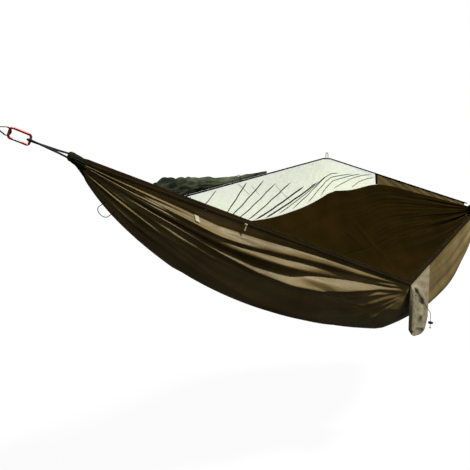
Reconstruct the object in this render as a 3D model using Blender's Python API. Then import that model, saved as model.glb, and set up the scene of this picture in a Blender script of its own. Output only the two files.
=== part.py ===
"""Gathered-end hammock with a bug net, hung at both ends: head end at -X, near side at -Y."""
import math
import bmesh
import bpy
import numpy as np
from mathutils import Matrix, Vector
from mathutils.bvhtree import BVHTree

# Layout of the hung bed, metres: X from the head hang loop to the foot, Y to the far side, Z up.
suspension_reach = 0.40
head_drop = 0.145
bed_span = 2.70
foot_drop = 0.38
near_low_reach = 1.35
near_low_out = 0.404
near_low_drop = 0.669
corner_reach = 0.40
corner_out = 0.223
corner_drop = 0.322
peak_reach = 1.684
peak_out = 0.40
peak_drop = 0.087
peak_flat = 0.06
bed_sag = 0.65
sag_power_share = 0.75
gather_half_width = 0.024
gusset_reach = 2.01
gusset_height = 0.062

# Cloth
cloth_thickness = 0.002
seam_gap = 0.0006
hem_edge_gap = 0.0010
seat_gap = 0.0004
near_panel_share = 0.36
centre_panel_share = 0.70
round_share = 0.9
belly_share = 0.08
sag_lean_share = 0.157
cloth_end_inset = 0.034
fold_height = 0.020
fold_width_share = 0.045
pleat_height = 0.004

# Near hem and its zip; the section's directions are out from the bed and down the cloth.
hem_height = 0.016
hem_thickness = 0.004
hem_end_inset = 0.045
tape_thickness = 0.0012
tape_top = 0.004
tape_kink_top = 0.003
tape_kink_low = 0.008
bead_out = 0.0072
bead_down = 0.014
bead_radius = 0.002
slider_clearance = 0.0006
slider_wall = 0.0017
slider_length = 0.013
slider_mouth = 0.0011
slider_reach = 0.583
bail_radius = 0.0009
bail_rise = 0.0042
bail_half = 0.0042
pull_eye_clearance = 0.0005
pull_eye_wall = 0.0014
pull_width = 0.0052
pull_length = 0.024
pull_thickness = 0.0016

# Far top hem, net wall and what is on them
top_hem_radius = 0.004
top_hem_inset = 0.046
net_thickness = 0.0016
net_start_reach = 0.075
net_bow = 0.012
end_seam_width = 0.012
gusset_end_inset = 0.06
bundle_start_reach = 0.29
bundle_end_reach = 1.14
bundle_radius = 0.044
bundle_lump_share = 0.10
bundle_flat_share = 0.55
tie_reach = 0.93
tie_radius = 0.0016
tie_clearance = 0.001
peak_loop_height = 0.030
peak_loop_half = 0.009
peak_loop_radius = 0.002

# Suspension
strap_width = 0.015
ply_thickness = 0.0017
loop_radius = 0.012
loop_taper = 0.034
hole_tip_inset = 0.006
rod_radius = 0.004
carabiner_length = 0.067
carabiner_width = 0.034
carabiner_corner = 0.009
carabiner_place = 0.2245
strap_bear_gap = 0.0006
gate_radius = 0.0036
gate_half = 0.0184
gate_pivot_back = 0.0030
gate_end_gap = 0.0006
gate_shoulder_gap = 0.0014
tongue_thickness = 0.0030
tongue_length = 0.0075
tine_gap = 0.0003
slot_overrun = 0.0012
pin_radius = 0.0011
pin_gap = 0.00015
sling_radius = 0.0035
sling_gap = 0.0004
sling_spread = 0.009
sling_end_back = 0.0215
channel_gap = 0.0004
gather_back = 0.0375
gather_margin = 0.003
gather_lumps = 9
gather_lump_share = 0.07
gather_tip_radius = 0.017

# Stuff sack at the hem's low point, its drawcord and cord lock
sack_width = 0.280
sack_start = 0.014
sack_near_drop = 0.245
sack_far_drop = 0.330
sack_top_radius = 0.0028
sack_thickness = 0.022
sack_hang_gap = 0.0004
drawcord_radius = 0.0014
drawcord_gap = 0.0004
drawcord_tail = 0.050
lock_radius = 0.0065
lock_length = 0.017
lock_hole_gap = 0.0004
plunger_radius = 0.0042
plunger_proud = 0.0050
plunger_travel = 0.0030
plunger_gap = 0.0003

# Tabs on the bed
side_tab_width = 0.016
side_tab_height = 0.032
side_tab_thickness = 0.0016
side_tab_reach = 0.39
side_tab_share = 0.085
keel_loop_reach = 0.105
keel_loop_share = 0.47
keel_loop_half = 0.016
keel_loop_drop = 0.045
keel_loop_radius = 0.0014
shot_length = 0.08

# Counts and steps
normal_step_share = 0.003
section_samples = 161
bed_stations = 40
near_across = 14
centre_across = 9
far_across = 11
net_stations = 32
net_across = 6
gusset_stations = 12
gusset_across = 4
bundle_rings = 22
bundle_sides = 18
rod_sides = 12
pin_sides = 20
arc_steps = 6
loop_steps = 14
sack_stations = 15
sack_across = 13

head_x = suspension_reach
foot_x = suspension_reach + bed_span
span_x = foot_x + suspension_reach
foot_anchor_drop = foot_drop - head_drop
mid_x = head_x + 0.5 * bed_span
near_low = np.array([head_x + near_low_reach, -near_low_out, -near_low_drop])
corner = np.array([head_x + corner_reach, corner_out, -corner_drop])
peak = np.array([head_x + peak_reach, peak_out, -peak_drop])
head_end = np.array([head_x, 0, -head_drop])
foot_end = np.array([foot_x, 0, -foot_drop])


def unit(vector):
    vector = np.asarray(vector, float)
    return vector / np.linalg.norm(vector)


def clear_scene():
    for item in list(bpy.data.objects):
        bpy.data.objects.remove(item, do_unlink=True)


def paint(name, colour, roughness, metallic=0.0, alpha=1.0):
    material = bpy.data.materials.new(name)
    material.use_nodes = True
    shader = material.node_tree.nodes["Principled BSDF"]
    shader.inputs["Base Color"].default_value = (*colour, 1)
    shader.inputs["Roughness"].default_value = roughness
    shader.inputs["Metallic"].default_value = metallic
    shader.inputs["Alpha"].default_value = alpha
    return material


def add_object(name, data, material):
    made = bpy.data.objects.new(name, data)
    made.data.materials.append(material)
    bpy.context.scene.collection.objects.link(made)
    return made


def mesh_object(name, points, faces, material, smooth_angle=40):
    """A closed mesh object whose faces are turned outwards."""
    mesh = bpy.data.meshes.new(name)
    corners = [tuple(map(float, p)) for p in points]
    mesh.from_pydata(corners, [], [tuple(map(int, f)) for f in faces])
    work = bmesh.new()
    work.from_mesh(mesh)
    bmesh.ops.recalc_face_normals(work, faces=work.faces)
    work.to_mesh(mesh)
    work.free()
    mesh.shade_smooth()
    mesh.set_sharp_from_angle(angle=math.radians(smooth_angle))
    return add_object(name, mesh, material)


def loft(name, rings, material, closed=False, smooth_angle=40):
    """Skins rings of equal count; open lofts get a flat cap at each end, closed ones join last to first."""
    rings = np.asarray(rings, float)
    count, around = rings.shape[:2]
    index = np.arange(count * around).reshape(count, around)
    faces = []
    for i in range(count if closed else count - 1):
        low, high = index[i], index[(i + 1) % count]
        for j in range(around):
            k = (j + 1) % around
            faces.append((low[j], low[k], high[k], high[j]))
    if not closed:
        faces += [tuple(index[0][::-1]), tuple(index[-1])]
    return mesh_object(name, rings.reshape(-1, 3), faces, material, smooth_angle)


def sheet_solid(name, middle, normals, thickness, material):
    """A closed sheet: the middle surface's grid moved half the thickness out and in, with a rim between."""
    rows, columns = middle.shape[:2]
    outer = middle + normals * (0.5 * thickness)
    inner = middle - normals * (0.5 * thickness)
    points = np.concatenate([outer.reshape(-1, 3), inner.reshape(-1, 3)])
    top = np.arange(rows * columns).reshape(rows, columns)
    low = top + rows * columns
    faces = []
    for i in range(rows - 1):
        for j in range(columns - 1):
            faces.append((top[i, j], top[i, j + 1], top[i + 1, j + 1], top[i + 1, j]))
            faces.append((low[i, j], low[i + 1, j], low[i + 1, j + 1], low[i, j + 1]))
    rim = list(top[0, :-1]) + list(top[:-1, -1]) + list(top[-1, :0:-1]) + list(top[:0:-1, 0])
    for a, b in zip(rim, rim[1:] + rim[:1]):
        faces.append((a, a + rows * columns, b + rows * columns, b))
    return mesh_object(name, points, faces, material, 60)


def tube(name, points, radius, material, closed=False, resolution=2):
    curve = bpy.data.curves.new(name, "CURVE")
    curve.dimensions = "3D"
    curve.bevel_depth = radius
    curve.bevel_resolution = resolution
    curve.use_fill_caps = not closed
    spline = curve.splines.new("POLY")
    spline.points.add(len(points) - 1)
    for spot, place in zip(spline.points, points):
        spot.co = (*map(float, place), 1)
    spline.use_cyclic_u = closed
    made = add_object(name, curve, material)
    return made


def meshed(made):
    """The curve object turned into a mesh object under the same name."""
    mesh = bpy.data.meshes.new_from_object(made.evaluated_get(bpy.context.evaluated_depsgraph_get()))
    name, material = made.name, made.data.materials[0]
    bpy.data.objects.remove(made, do_unlink=True)
    work = bmesh.new()
    work.from_mesh(mesh)
    bmesh.ops.remove_doubles(work, verts=work.verts, dist=weld_distance)
    bmesh.ops.recalc_face_normals(work, faces=work.faces)
    work.to_mesh(mesh)
    work.free()
    mesh.name = name
    if not mesh.materials:
        mesh.materials.append(material)
    made = bpy.data.objects.new(name, mesh)
    bpy.context.scene.collection.objects.link(made)
    mesh.shade_smooth()
    mesh.set_sharp_from_angle(angle=math.radians(40))
    return made


def boolean(target, other, operation="DIFFERENCE"):
    modifier = target.modifiers.new(operation.title(), "BOOLEAN")
    modifier.operation = operation
    modifier.solver = "EXACT"
    modifier.object = other
    other.hide_render = True
    other.display_type = "WIRE"
    return modifier


def prism(name, outline, holes, start, width, along, across, material):
    """An outline in the plane of along and across, pushed width to both sides of start, square to them."""
    side = np.cross(along, across)
    curve = bpy.data.curves.new(name, "CURVE")
    curve.dimensions = "2D"
    curve.fill_mode = "BOTH"
    curve.extrude = 0.5 * width
    for ring in [outline] + holes:
        spline = curve.splines.new("POLY")
        spline.points.add(len(ring) - 1)
        for spot, place in zip(spline.points, ring):
            spot.co = (float(place[0]), float(place[1]), 0, 1)
        spline.use_cyclic_u = True
    made = add_object(name, curve, material)
    made.matrix_world = matrix_of(start, along, across, side)
    return made


def matrix_of(start, along, across, side):
    rows = [[along[k], across[k], side[k], start[k]] for k in range(3)]
    return Matrix(rows + [[0, 0, 0, 1]])


def circle(radius, sides, turn=0.0):
    angle = np.arange(sides) * (2 * math.pi / sides) + turn
    return np.stack([radius * np.cos(angle), radius * np.sin(angle)], axis=1)


def rod(name, path, radius, sides, material, flat_axis):
    """A round bar along a path that lies in one plane, whose normal is flat_axis."""
    path = np.asarray(path, float)
    steps = np.diff(path, axis=0)
    steps /= np.linalg.norm(steps, axis=1)[:, None]
    ahead = np.concatenate([steps[:1], steps[:-1] + steps[1:], steps[-1:]])
    ahead /= np.linalg.norm(ahead, axis=1)[:, None]
    side = np.cross(ahead, flat_axis)
    spread = np.ones(len(path))
    spread[1:-1] = 1 / np.sqrt((1 + (steps[:-1] * steps[1:]).sum(axis=1)) / 2)
    ring = circle(radius, sides, math.pi / sides)
    sideways = ring[None, :, :1] * (side * spread[:, None])[:, None]
    rings = path[:, None] + sideways + ring[None, :, 1:] * np.asarray(flat_axis)
    return loft(name, rings, material)


def cylinder(name, centre, axis, radius, length, sides, material):
    axis = unit(axis)
    first = unit(np.cross(axis, [0, 1, 0] if abs(axis[1]) < 0.9 else [1, 0, 0]))
    second = np.cross(axis, first)
    ring = circle(radius, sides)
    ends = [np.asarray(centre) + axis * length * share for share in (-0.5, 0.5)]
    rings = [end + ring[:, :1] * first + ring[:, 1:] * second for end in ends]
    return loft(name, rings, material)


def block(name, centre, axes, sizes, material):
    corner_shares = [(x, y) for x, y in ((-0.5, -0.5), (0.5, -0.5), (0.5, 0.5), (-0.5, 0.5))]
    a, b, c = [np.asarray(axis, float) * size for axis, size in zip(axes, sizes)]
    rings = [[np.asarray(centre) + a * end + b * x + c * y for x, y in corner_shares] for end in (-0.5, 0.5)]
    return loft(name, rings, material)


weld_distance = 0.01 * seat_gap

clear_scene()

webbing_red = paint("webbing_red_brown", (0.16, 0.020, 0.014), 0.8)
anodised_red = paint("anodised_red", (0.62, 0.07, 0.05), 0.32, 1.0)
steel = paint("steel", (0.55, 0.55, 0.56), 0.3, 1.0)
cord_black = paint("cord_black", (0.012, 0.012, 0.013), 0.75)
nylon_coyote = paint("nylon_coyote", (0.13, 0.095, 0.045), 0.55)
nylon_dark = paint("nylon_dark", (0.065, 0.048, 0.022), 0.6)
net_olive = paint("net_olive", (0.035, 0.045, 0.018), 0.8)
net_clear = paint("net_clear", (0.30, 0.36, 0.18), 0.8, alpha=0.35)
zip_beige = paint("zip_beige", (0.42, 0.36, 0.24), 0.45)
tab_beige = paint("tab_beige", (0.48, 0.42, 0.30), 0.8)
lock_black = paint("lock_black", (0.015, 0.015, 0.016), 0.4)


# The near hem: a straight line from the head gather down to the low point and up to the foot gather.
def hem_frame(start, end):
    along = unit(end - start)
    down = unit(np.array([0, 0, -1.0]) - along * -along[2])
    out = np.cross(down, along)
    return along, out, down


near_start = head_end + [0, -gather_half_width, 0]
near_finish = foot_end + [0, -gather_half_width, 0]
head_frame = hem_frame(near_start, near_low)
foot_frame = hem_frame(near_low, near_finish)


def on_plane(point, along, origin, normal):
    return point + along * (((origin - point) @ normal) / (along @ normal))


def hem_corners(out_by, down_by):
    """Where a line parallel to the hem starts, bends at the low point and ends."""
    mitre = unit(head_frame[0] + foot_frame[0])
    ends = []
    first = near_low + head_frame[1] * out_by + head_frame[2] * down_by
    second = near_low + foot_frame[1] * out_by + foot_frame[2] * down_by
    first = on_plane(first, head_frame[0], near_low, mitre)
    second = on_plane(second, foot_frame[0], near_low, mitre)
    head = near_start + head_frame[0] * hem_end_inset + head_frame[1] * out_by + head_frame[2] * down_by
    foot = near_finish - foot_frame[0] * hem_end_inset + foot_frame[1] * out_by + foot_frame[2] * down_by
    return np.array([head, 0.5 * (first + second), foot])


def hem_edge(x):
    """Y and Z of the near panel's upper edge at each x."""
    corners = hem_corners(0, 0.5 * hem_height + hem_edge_gap)
    grow_head = corners[0] + (corners[0] - corners[1])
    grow_foot = corners[2] + (corners[2] - corners[1])
    line = np.array([grow_head, corners[0], corners[1], corners[2], grow_foot])
    return np.stack([np.interp(x, line[:, 0], line[:, k]) for k in (1, 2)], axis=-1)


# The top hem: corner pulled down by the bundle, then taut over the peak to the foot gather.
top_points = np.array([
    head_end + [0, gather_half_width, 0],
    corner,
    peak - [0.5 * peak_flat, 0, 0],
    peak + [0.5 * peak_flat, 0, 0],
    foot_end + [0, gather_half_width, 0],
])


def top_line(x):
    return np.stack([np.interp(x, top_points[:, 0], top_points[:, k]) for k in (1, 2)], axis=-1)


# The far cloth edge: shares of the bed's span, and its depth below the top line in gusset heights.
far_x_shares = (0.0, 0.10, 0.15, 0.23, 0.37, 0.48, 0.57, 0.66, 0.75, 0.85, 1.0)
far_below_shares = (0.24, 0.34, 0.55, 1.75, 3.40, 3.98, 3.72, 2.72, 1.0, 0.60, 0.24)
far_in_shares = (0.0, 0.0, 0.10, 0.30, 0.20, -0.10, 0.40, 0.75, 0.06, 0.03, 0.0)


def smooth_interp(x, xs, ys):
    """Cubic through the points, with slopes from their neighbours."""
    xs, ys = np.asarray(xs, float), np.asarray(ys, float)
    slopes = np.gradient(ys, xs)
    i = np.clip(np.searchsorted(xs, x) - 1, 0, len(xs) - 2)
    h = xs[i + 1] - xs[i]
    t = np.clip((x - xs[i]) / h, 0, 1)
    a, b = ys[i], ys[i + 1]
    ma, mb = slopes[i] * h, slopes[i + 1] * h
    return a + t * ma + t ** 2 * (3 * (b - a) - 2 * ma - mb) + t ** 3 * (2 * (a - b) + ma + mb)


def far_edge(x):
    share = (x - head_x) / bed_span
    below = smooth_interp(share, far_x_shares, far_below_shares) * gusset_height
    inwards = smooth_interp(share, far_x_shares, far_in_shares) * gusset_height
    line = top_line(x)
    return np.stack([line[..., 0] - inwards, line[..., 1] - below], axis=-1)


def keel(x):
    along = np.clip((x - mid_x) / (0.5 * bed_span), -1, 1)
    fall = (x - head_x) * (foot_drop - head_drop) / bed_span
    return -head_drop - fall - bed_sag * (1 - along ** 2) ** sag_power_share


def section(x):
    """Points of the cloth's section at x, near edge to far edge."""
    x = np.asarray(x, float)[..., None]
    near, far = hem_edge(x[..., 0]), far_edge(x[..., 0])
    v = np.linspace(0, 1, section_samples)
    sag = 0.5 * (near[..., 1] + far[..., 1]) - keel(x[..., 0])
    belly = belly_share * sag[..., None] * np.sin(2 * math.pi * v)
    y = near[..., :1] + (far[..., :1] - near[..., :1]) * v - belly
    drop = sag[..., None] * (4 * v * (1 - v)) ** round_share
    y = y - sag_lean_share * drop
    z = near[..., 1:] + (far[..., 1:] - near[..., 1:]) * v - drop
    return np.stack([np.broadcast_to(x, y.shape), y, z], axis=-1)


def place(x, shares, low_gap=0.0, high_gap=0.0, share_span=(0.0, 1.0)):
    """Points of the bed at stations x and shares of the way across; the gaps come off the span's two ends."""
    x = np.asarray(x, float)
    lines = section(x)
    made = np.empty((len(x), len(shares), 3))
    for i, line in enumerate(lines):
        run = np.concatenate([[0], np.cumsum(np.linalg.norm(np.diff(line, axis=0), axis=1))])
        low = share_span[0] * run[-1] + low_gap
        high = share_span[1] * run[-1] - high_gap
        wanted = low + (high - low) * np.asarray(shares)
        for k in range(3):
            made[i, :, k] = np.interp(wanted, run, line[:, k])
    return made


# Folds on the near side: each runs from a gather to the low point, as shares of the way and across.
fold_shares = (
    ((0.03, 0.10), (0.10, 0.12), (0.22, 0.13), (0.36, 0.12), (0.44, 0.08), (0.49, 0.035)),
    ((0.05, 0.19), (0.12, 0.24), (0.22, 0.25), (0.34, 0.21), (0.43, 0.13), (0.49, 0.06)),
    ((0.07, 0.28), (0.14, 0.34), (0.24, 0.35), (0.36, 0.29), (0.45, 0.18), (0.50, 0.09)),
    ((0.52, 0.06), (0.58, 0.14), (0.66, 0.20), (0.76, 0.20), (0.88, 0.15), (0.97, 0.11)),
)


def relief(x, across):
    """How far the cloth stands out of its plain form at x and the share of the way across."""
    share = (x - head_x) / bed_span
    total = np.zeros(np.broadcast(x, across).shape)
    for row in fold_shares:
        row = np.array(row)
        centre = np.interp(share, row[:, 0], row[:, 1])
        inside = np.clip((share - row[0, 0]) / 0.06, 0, 1) * np.clip((row[-1, 0] - share) / 0.06, 0, 1)
        width = fold_width_share * (0.35 + 0.65 * np.clip(4 * centre, 0, 1))
        total = total + fold_height * inside * np.exp(-((across - centre) / width) ** 2)
    near_end = np.minimum(share, 1 - share)
    swell = np.clip(near_end / 0.05, 0, 1) * np.exp(-near_end / 0.09)
    total = total + pleat_height * swell * np.sin(across * 2 * math.pi * 9)
    edge = np.clip(np.minimum(across, 1 - across) / 0.04, 0, 1)
    return total * edge ** 2


def bed_points(x, shares, share_span=(0.0, 1.0), low_gap=0.0, high_gap=0.0):
    """Points and outward normals on the folded cloth."""
    x = np.asarray(x, float)
    shares = np.asarray(shares, float)
    across = share_span[0] + (share_span[1] - share_span[0]) * shares

    def folded(stations, wanted):
        flat = place(stations, wanted, low_gap, high_gap, share_span)
        normal = surface_normals(stations, wanted, low_gap, high_gap, share_span)
        spread = share_span[0] + (share_span[1] - share_span[0]) * wanted[None, :]
        amount = relief(stations[:, None], spread)
        return flat + normal * amount[..., None]

    step_x = normal_step_share * bed_span
    step_s = normal_step_share
    middle = folded(x, shares)
    along = folded(x + step_x, shares) - folded(x - step_x, shares)
    over = folded(x, shares + step_s) - folded(x, shares - step_s)
    normal = np.cross(along, over)
    normal /= np.linalg.norm(normal, axis=-1, keepdims=True)
    return middle, -normal * np.sign((normal * [0, 0, 1]).sum(axis=-1, keepdims=True).mean())


def surface_normals(x, shares, low_gap, high_gap, share_span):
    step_x = normal_step_share * bed_span
    step_s = 3 * normal_step_share
    span = (low_gap, high_gap, share_span)
    along = place(x + step_x, shares, *span) - place(x - step_x, shares, *span)
    over = place(x, shares + step_s, *span) - place(x, shares - step_s, *span)
    normal = np.cross(along, over)
    normal /= np.linalg.norm(normal, axis=-1, keepdims=True)
    return -normal


cloth_start = head_x + cloth_end_inset
cloth_finish = foot_x - cloth_end_inset


def stations(start, finish, count):
    """Stations closer together towards both ends."""
    t = np.linspace(0, 1, count)
    return start + (finish - start) * (0.75 * t + 0.25 * 0.5 * (1 - np.cos(math.pi * t)))


def panel(name, low, high, count_across, material, low_gap, high_gap):
    x = stations(cloth_start, cloth_finish, bed_stations)
    low_x = hem_corners(0, 0.5 * hem_height + hem_edge_gap)[1, 0]
    x[np.abs(x - low_x).argmin()] = low_x
    shares = np.linspace(0, 1, count_across)
    middle, normal = bed_points(x, shares, (low, high), low_gap, high_gap)
    return sheet_solid(name, middle, normal, cloth_thickness, material)


half_seam = 0.5 * seam_gap
near_panel = panel("near_side_panel", 0.0, near_panel_share, near_across, nylon_coyote, 0.0, half_seam)
centre_cloth = panel(
    "centre_panel", near_panel_share, centre_panel_share, centre_across, nylon_coyote, half_seam, half_seam)
panel("far_side_panel", centre_panel_share, 1.0, far_across, nylon_coyote, half_seam, half_seam)


# Near hem band and zip tape: one section each, carried along the hem and mitred at the low point.
def along_hem(name, outline, material):
    rings = np.stack([hem_corners(out_by, down_by) for out_by, down_by in outline], axis=1)
    return loft(name, rings, material, smooth_angle=30)


half_hem, half_band = 0.5 * hem_height, 0.5 * hem_thickness
hem_chamfer = 0.25 * hem_thickness
hem_outline = [
    (half_band, -half_hem + hem_chamfer), (half_band, half_hem - hem_chamfer),
    (half_band - hem_chamfer, half_hem), (-half_band + hem_chamfer, half_hem),
    (-half_band, half_hem - hem_chamfer), (-half_band, -half_hem + hem_chamfer),
    (-half_band + hem_chamfer, -half_hem), (half_band - hem_chamfer, -half_hem),
]
along_hem("near_hem_band", hem_outline, nylon_dark)

tape_in = half_band + seat_gap
tape_out = tape_in + tape_thickness
half_tape = 0.5 * tape_thickness
bead_angle = math.asin(half_tape / bead_radius)
bead_turns = np.linspace(bead_angle, 2 * math.pi - bead_angle, rod_sides)
bead = [(bead_out + bead_radius * math.sin(t), bead_down - bead_radius * math.cos(t)) for t in bead_turns]
tape_outline = [
    (tape_in, -tape_top), (tape_out, -tape_top),
    (tape_out, tape_kink_top), (bead_out + half_tape, tape_kink_low),
    *bead,
    (bead_out - half_tape, tape_kink_low), (tape_in, tape_kink_top + tape_thickness),
]
along_hem("near_zip_tape", tape_outline, zip_beige)

# Slider on the zip, and its pull: a C round the bead, open towards the tape, with a bail on its face
slider_along, slider_out, slider_down = head_frame
bead_line = hem_corners(bead_out, bead_down)
slider_share = (slider_reach - hem_end_inset) / (near_low_reach - hem_end_inset)
slider_centre = bead_line[0] + (bead_line[1] - bead_line[0]) * slider_share
channel_radius = bead_radius + slider_clearance
slider_radius = channel_radius + slider_wall
mouth_half = half_tape + slider_mouth


def c_outline(inner, outer, mouth, steps):
    inner_gap, outer_gap = math.asin(mouth / inner), math.asin(mouth / outer)
    outer_turns = np.linspace(outer_gap, 2 * math.pi - outer_gap, steps)
    inner_turns = np.linspace(2 * math.pi - inner_gap, inner_gap, steps)
    outside = [(outer * math.sin(t), -outer * math.cos(t)) for t in outer_turns]
    inside = [(inner * math.sin(t), -inner * math.cos(t)) for t in inner_turns]
    return outside + inside


slider_ring = c_outline(channel_radius, slider_radius, mouth_half, loop_steps)
slider_rings = [
    [slider_centre + slider_along * slider_length * end + slider_out * a + slider_down * b
     for a, b in slider_ring]
    for end in (-0.5, 0.5)
]
slider = loft("zip_slider", slider_rings, zip_beige)
bail_foot = slider_radius - 0.5 * slider_wall
bail_top = slider_radius + bail_rise
bail_low = bail_top - bail_radius
bail_shares = (-1, -1, -0.7, 0.7, 1, 1)
bail_rises = (bail_foot, bail_low, bail_top, bail_top, bail_low, bail_foot)
bail_path = [
    slider_centre + slider_along * (bail_half * side) + slider_out * rise
    for side, rise in zip(bail_shares, bail_rises)
]
bail = rod("bail_tool", bail_path, bail_radius, rod_sides, zip_beige, slider_down)
boolean(slider, bail, "UNION")

pull_hole = bail_radius + pull_eye_clearance
pull_eye = pull_hole + pull_eye_wall
bail_centre = slider_centre + slider_out * bail_top
pull_hang = pull_eye_clearance - 0.5 * seat_gap
pull_turn = math.asin(0.5 * pull_thickness / pull_eye)
eye_turns = np.linspace(pull_turn, 2 * math.pi - pull_turn, loop_steps)
pull_outline = [(pull_eye * math.cos(t), pull_eye * math.sin(t)) for t in eye_turns]
pull_outline += [(pull_length, -0.5 * pull_thickness), (pull_length, 0.5 * pull_thickness)]
pull_hole_ring = [tuple(p) for p in circle(pull_hole, rod_sides)]
pull_start = bail_centre + slider_down * pull_hang
prism("zip_pull", pull_outline, [pull_hole_ring], pull_start, pull_width, slider_down, slider_out, zip_beige)


# Far top hem, net wall, end seam and gusset
top_start = unit(top_points[1] - top_points[0]) * top_hem_inset + top_points[0]
top_finish = unit(top_points[3] - top_points[4]) * top_hem_inset + top_points[4]
top_hem = tube("far_top_hem", [top_start, *top_points[1:4], top_finish], top_hem_radius, nylon_dark)


def web(name, start, finish, low_gap, high_gap, count_x, count_across, thickness, bow, material):
    """A sheet from the far cloth edge up to the top hem."""
    x = stations(start, finish, count_x)
    for kink in top_points[1:-1, 0]:
        if start < kink < finish:
            x[np.abs(x - kink).argmin()] = kink
    low, high = far_edge(x), top_line(x)
    low = np.stack([x, low[:, 0], low[:, 1]], axis=1)
    high = np.stack([x, high[:, 0], high[:, 1]], axis=1)
    rise = high - low
    length = np.linalg.norm(rise, axis=1, keepdims=True)
    steps = np.diff(high, axis=0)
    steps /= np.linalg.norm(steps, axis=1, keepdims=True)
    lean = np.abs((steps * (rise / length)[1:]).sum(axis=1))
    lean = np.maximum(np.append(lean, lean[-1]), np.append(lean[0], lean))[:, None]
    low, high = low + rise / length * low_gap, high - rise / length * high_gap / np.sqrt(1 - lean ** 2)
    t = np.linspace(0, 1, count_across)[None, :, None]
    middle = low[:, None] + (high - low)[:, None] * t
    bowing = bow * np.sin(math.pi * t[..., 0]) * np.clip(length / gusset_height - 1, 0, 1)
    middle[..., 1] += bowing
    along = np.gradient(middle, axis=0)
    over = np.gradient(middle, axis=1)
    normal = np.cross(along, over)
    normal /= np.linalg.norm(normal, axis=-1, keepdims=True)
    return sheet_solid(name, middle, normal, thickness, material)


net_finish = head_x + gusset_reach - 0.5 * end_seam_width - seat_gap
gusset_start = head_x + gusset_reach + 0.5 * end_seam_width + seat_gap
low_gap = cloth_thickness + seat_gap
high_gap = top_hem_radius + seat_gap
net_start = head_x + net_start_reach
gusset_finish = foot_x - gusset_end_inset
web(
    "net_wall", net_start, net_finish, low_gap, high_gap, net_stations, net_across, net_thickness, net_bow, net_clear)
web(
    "foot_gusset", gusset_start, gusset_finish, low_gap, high_gap,
    gusset_stations, gusset_across, cloth_thickness, 0.0, nylon_coyote)
web(
    "net_end_seam", net_finish + seat_gap, gusset_start - seat_gap, low_gap, high_gap,
    2, 2, 2 * net_thickness, 0.0, nylon_dark)

# Net bundle: a lumpy roll that lies on the top hem, thick by the corner and thin towards the peak
bundle_x_shares = (0.0, 0.10, 0.30, 0.48, 0.68, 1.0)
bundle_r_shares = (0.42, 0.92, 1.0, 0.70, 0.37, 0.14)


def bundle_radius_at(share):
    return bundle_radius * smooth_interp(share, bundle_x_shares, bundle_r_shares)


bundle_seat = top_hem_radius + seat_gap
bundle_share = np.linspace(0, 1, bundle_rings)
bundle_x = head_x + bundle_start_reach + (bundle_end_reach - bundle_start_reach) * bundle_share
bundle_low = top_line(bundle_x)
bundle_r = bundle_radius_at(bundle_share)
turns = np.arange(bundle_sides) * (2 * math.pi / bundle_sides)
waves = np.sin(5 * turns[None, :] + 9 * bundle_share[:, None]) * np.cos(31 * bundle_share[:, None])
lumps = 1 - bundle_lump_share * (0.5 + 0.5 * waves)
upright = 0.5 - 0.5 * np.cos(turns)
bundle_rings_at = np.stack([
    np.broadcast_to(bundle_x[:, None], lumps.shape),
    bundle_low[:, :1] + bundle_flat_share * bundle_r[:, None] * np.sin(turns) * lumps,
    bundle_low[:, 1:] + bundle_seat + 2 * bundle_r[:, None] * upright * (1 - (1 - lumps) * upright),
], axis=-1)
loft("net_bundle", bundle_rings_at, net_olive)

# Tie over the bundle: an arch whose feet stand on the hem's two sides
tie_x = head_x + tie_reach
tie_low = top_line(np.array(tie_x))
tie_share = (tie_reach - bundle_start_reach) / (bundle_end_reach - bundle_start_reach)
tie_r = float(bundle_radius_at(np.array(tie_share))) + tie_radius + tie_clearance
tie_turns = np.linspace(-0.80 * math.pi, 0.80 * math.pi, 2 * loop_steps)
foot_out = top_hem_radius + tie_radius + seat_gap
tie_centre_z = tie_low[1] + bundle_seat + tie_r - tie_radius - tie_clearance
tie_path = [(tie_x, tie_low[0] + tie_r * math.sin(t), tie_centre_z + tie_r * math.cos(t)) for t in tie_turns]
tie_near, tie_far = (tie_x, tie_low[0] - foot_out, tie_low[1]), (tie_x, tie_low[0] + foot_out, tie_low[1])
tie_path = [tie_near] + tie_path + [tie_far]
tube("bundle_tie", tie_path, tie_radius, cord_black, resolution=1)

# Peak loop: an arch that stands on the hem's flat top
peak_base = peak[2] + top_hem_radius + seat_gap
loop_turns = np.linspace(0, math.pi, loop_steps)
arch_z = peak_base + peak_loop_height - peak_loop_half
peak_arch = [
    (peak[0] - peak_loop_half * math.cos(t), peak[1], arch_z + peak_loop_half * math.sin(t))
    for t in loop_turns
]
peak_feet = [(peak[0] + side * peak_loop_half, peak[1], peak_base) for side in (-1, 1)]
peak_path = [peak_feet[0], *peak_arch, peak_feet[1]]
tube("peak_loop", peak_path, peak_loop_radius, cord_black)


# Suspension: strap, carabiner, sling and gather, made alike at both ends
def teardrop(centre, radius, tip, half, toward):
    """Upper half of a drop, round end first, its first facet square across; toward is +1 or -1 along it."""
    reach = math.hypot(tip, half)
    turn = math.atan2(half, tip) + math.acos(radius / reach)
    half_step = (math.pi - turn) / (2 * loop_steps - 1)
    angles = np.linspace(math.pi - half_step, turn, loop_steps)
    points = [(centre + toward * radius * math.cos(a), radius * math.sin(a)) for a in angles]
    return points + [(centre + toward * tip, half)]


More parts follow.
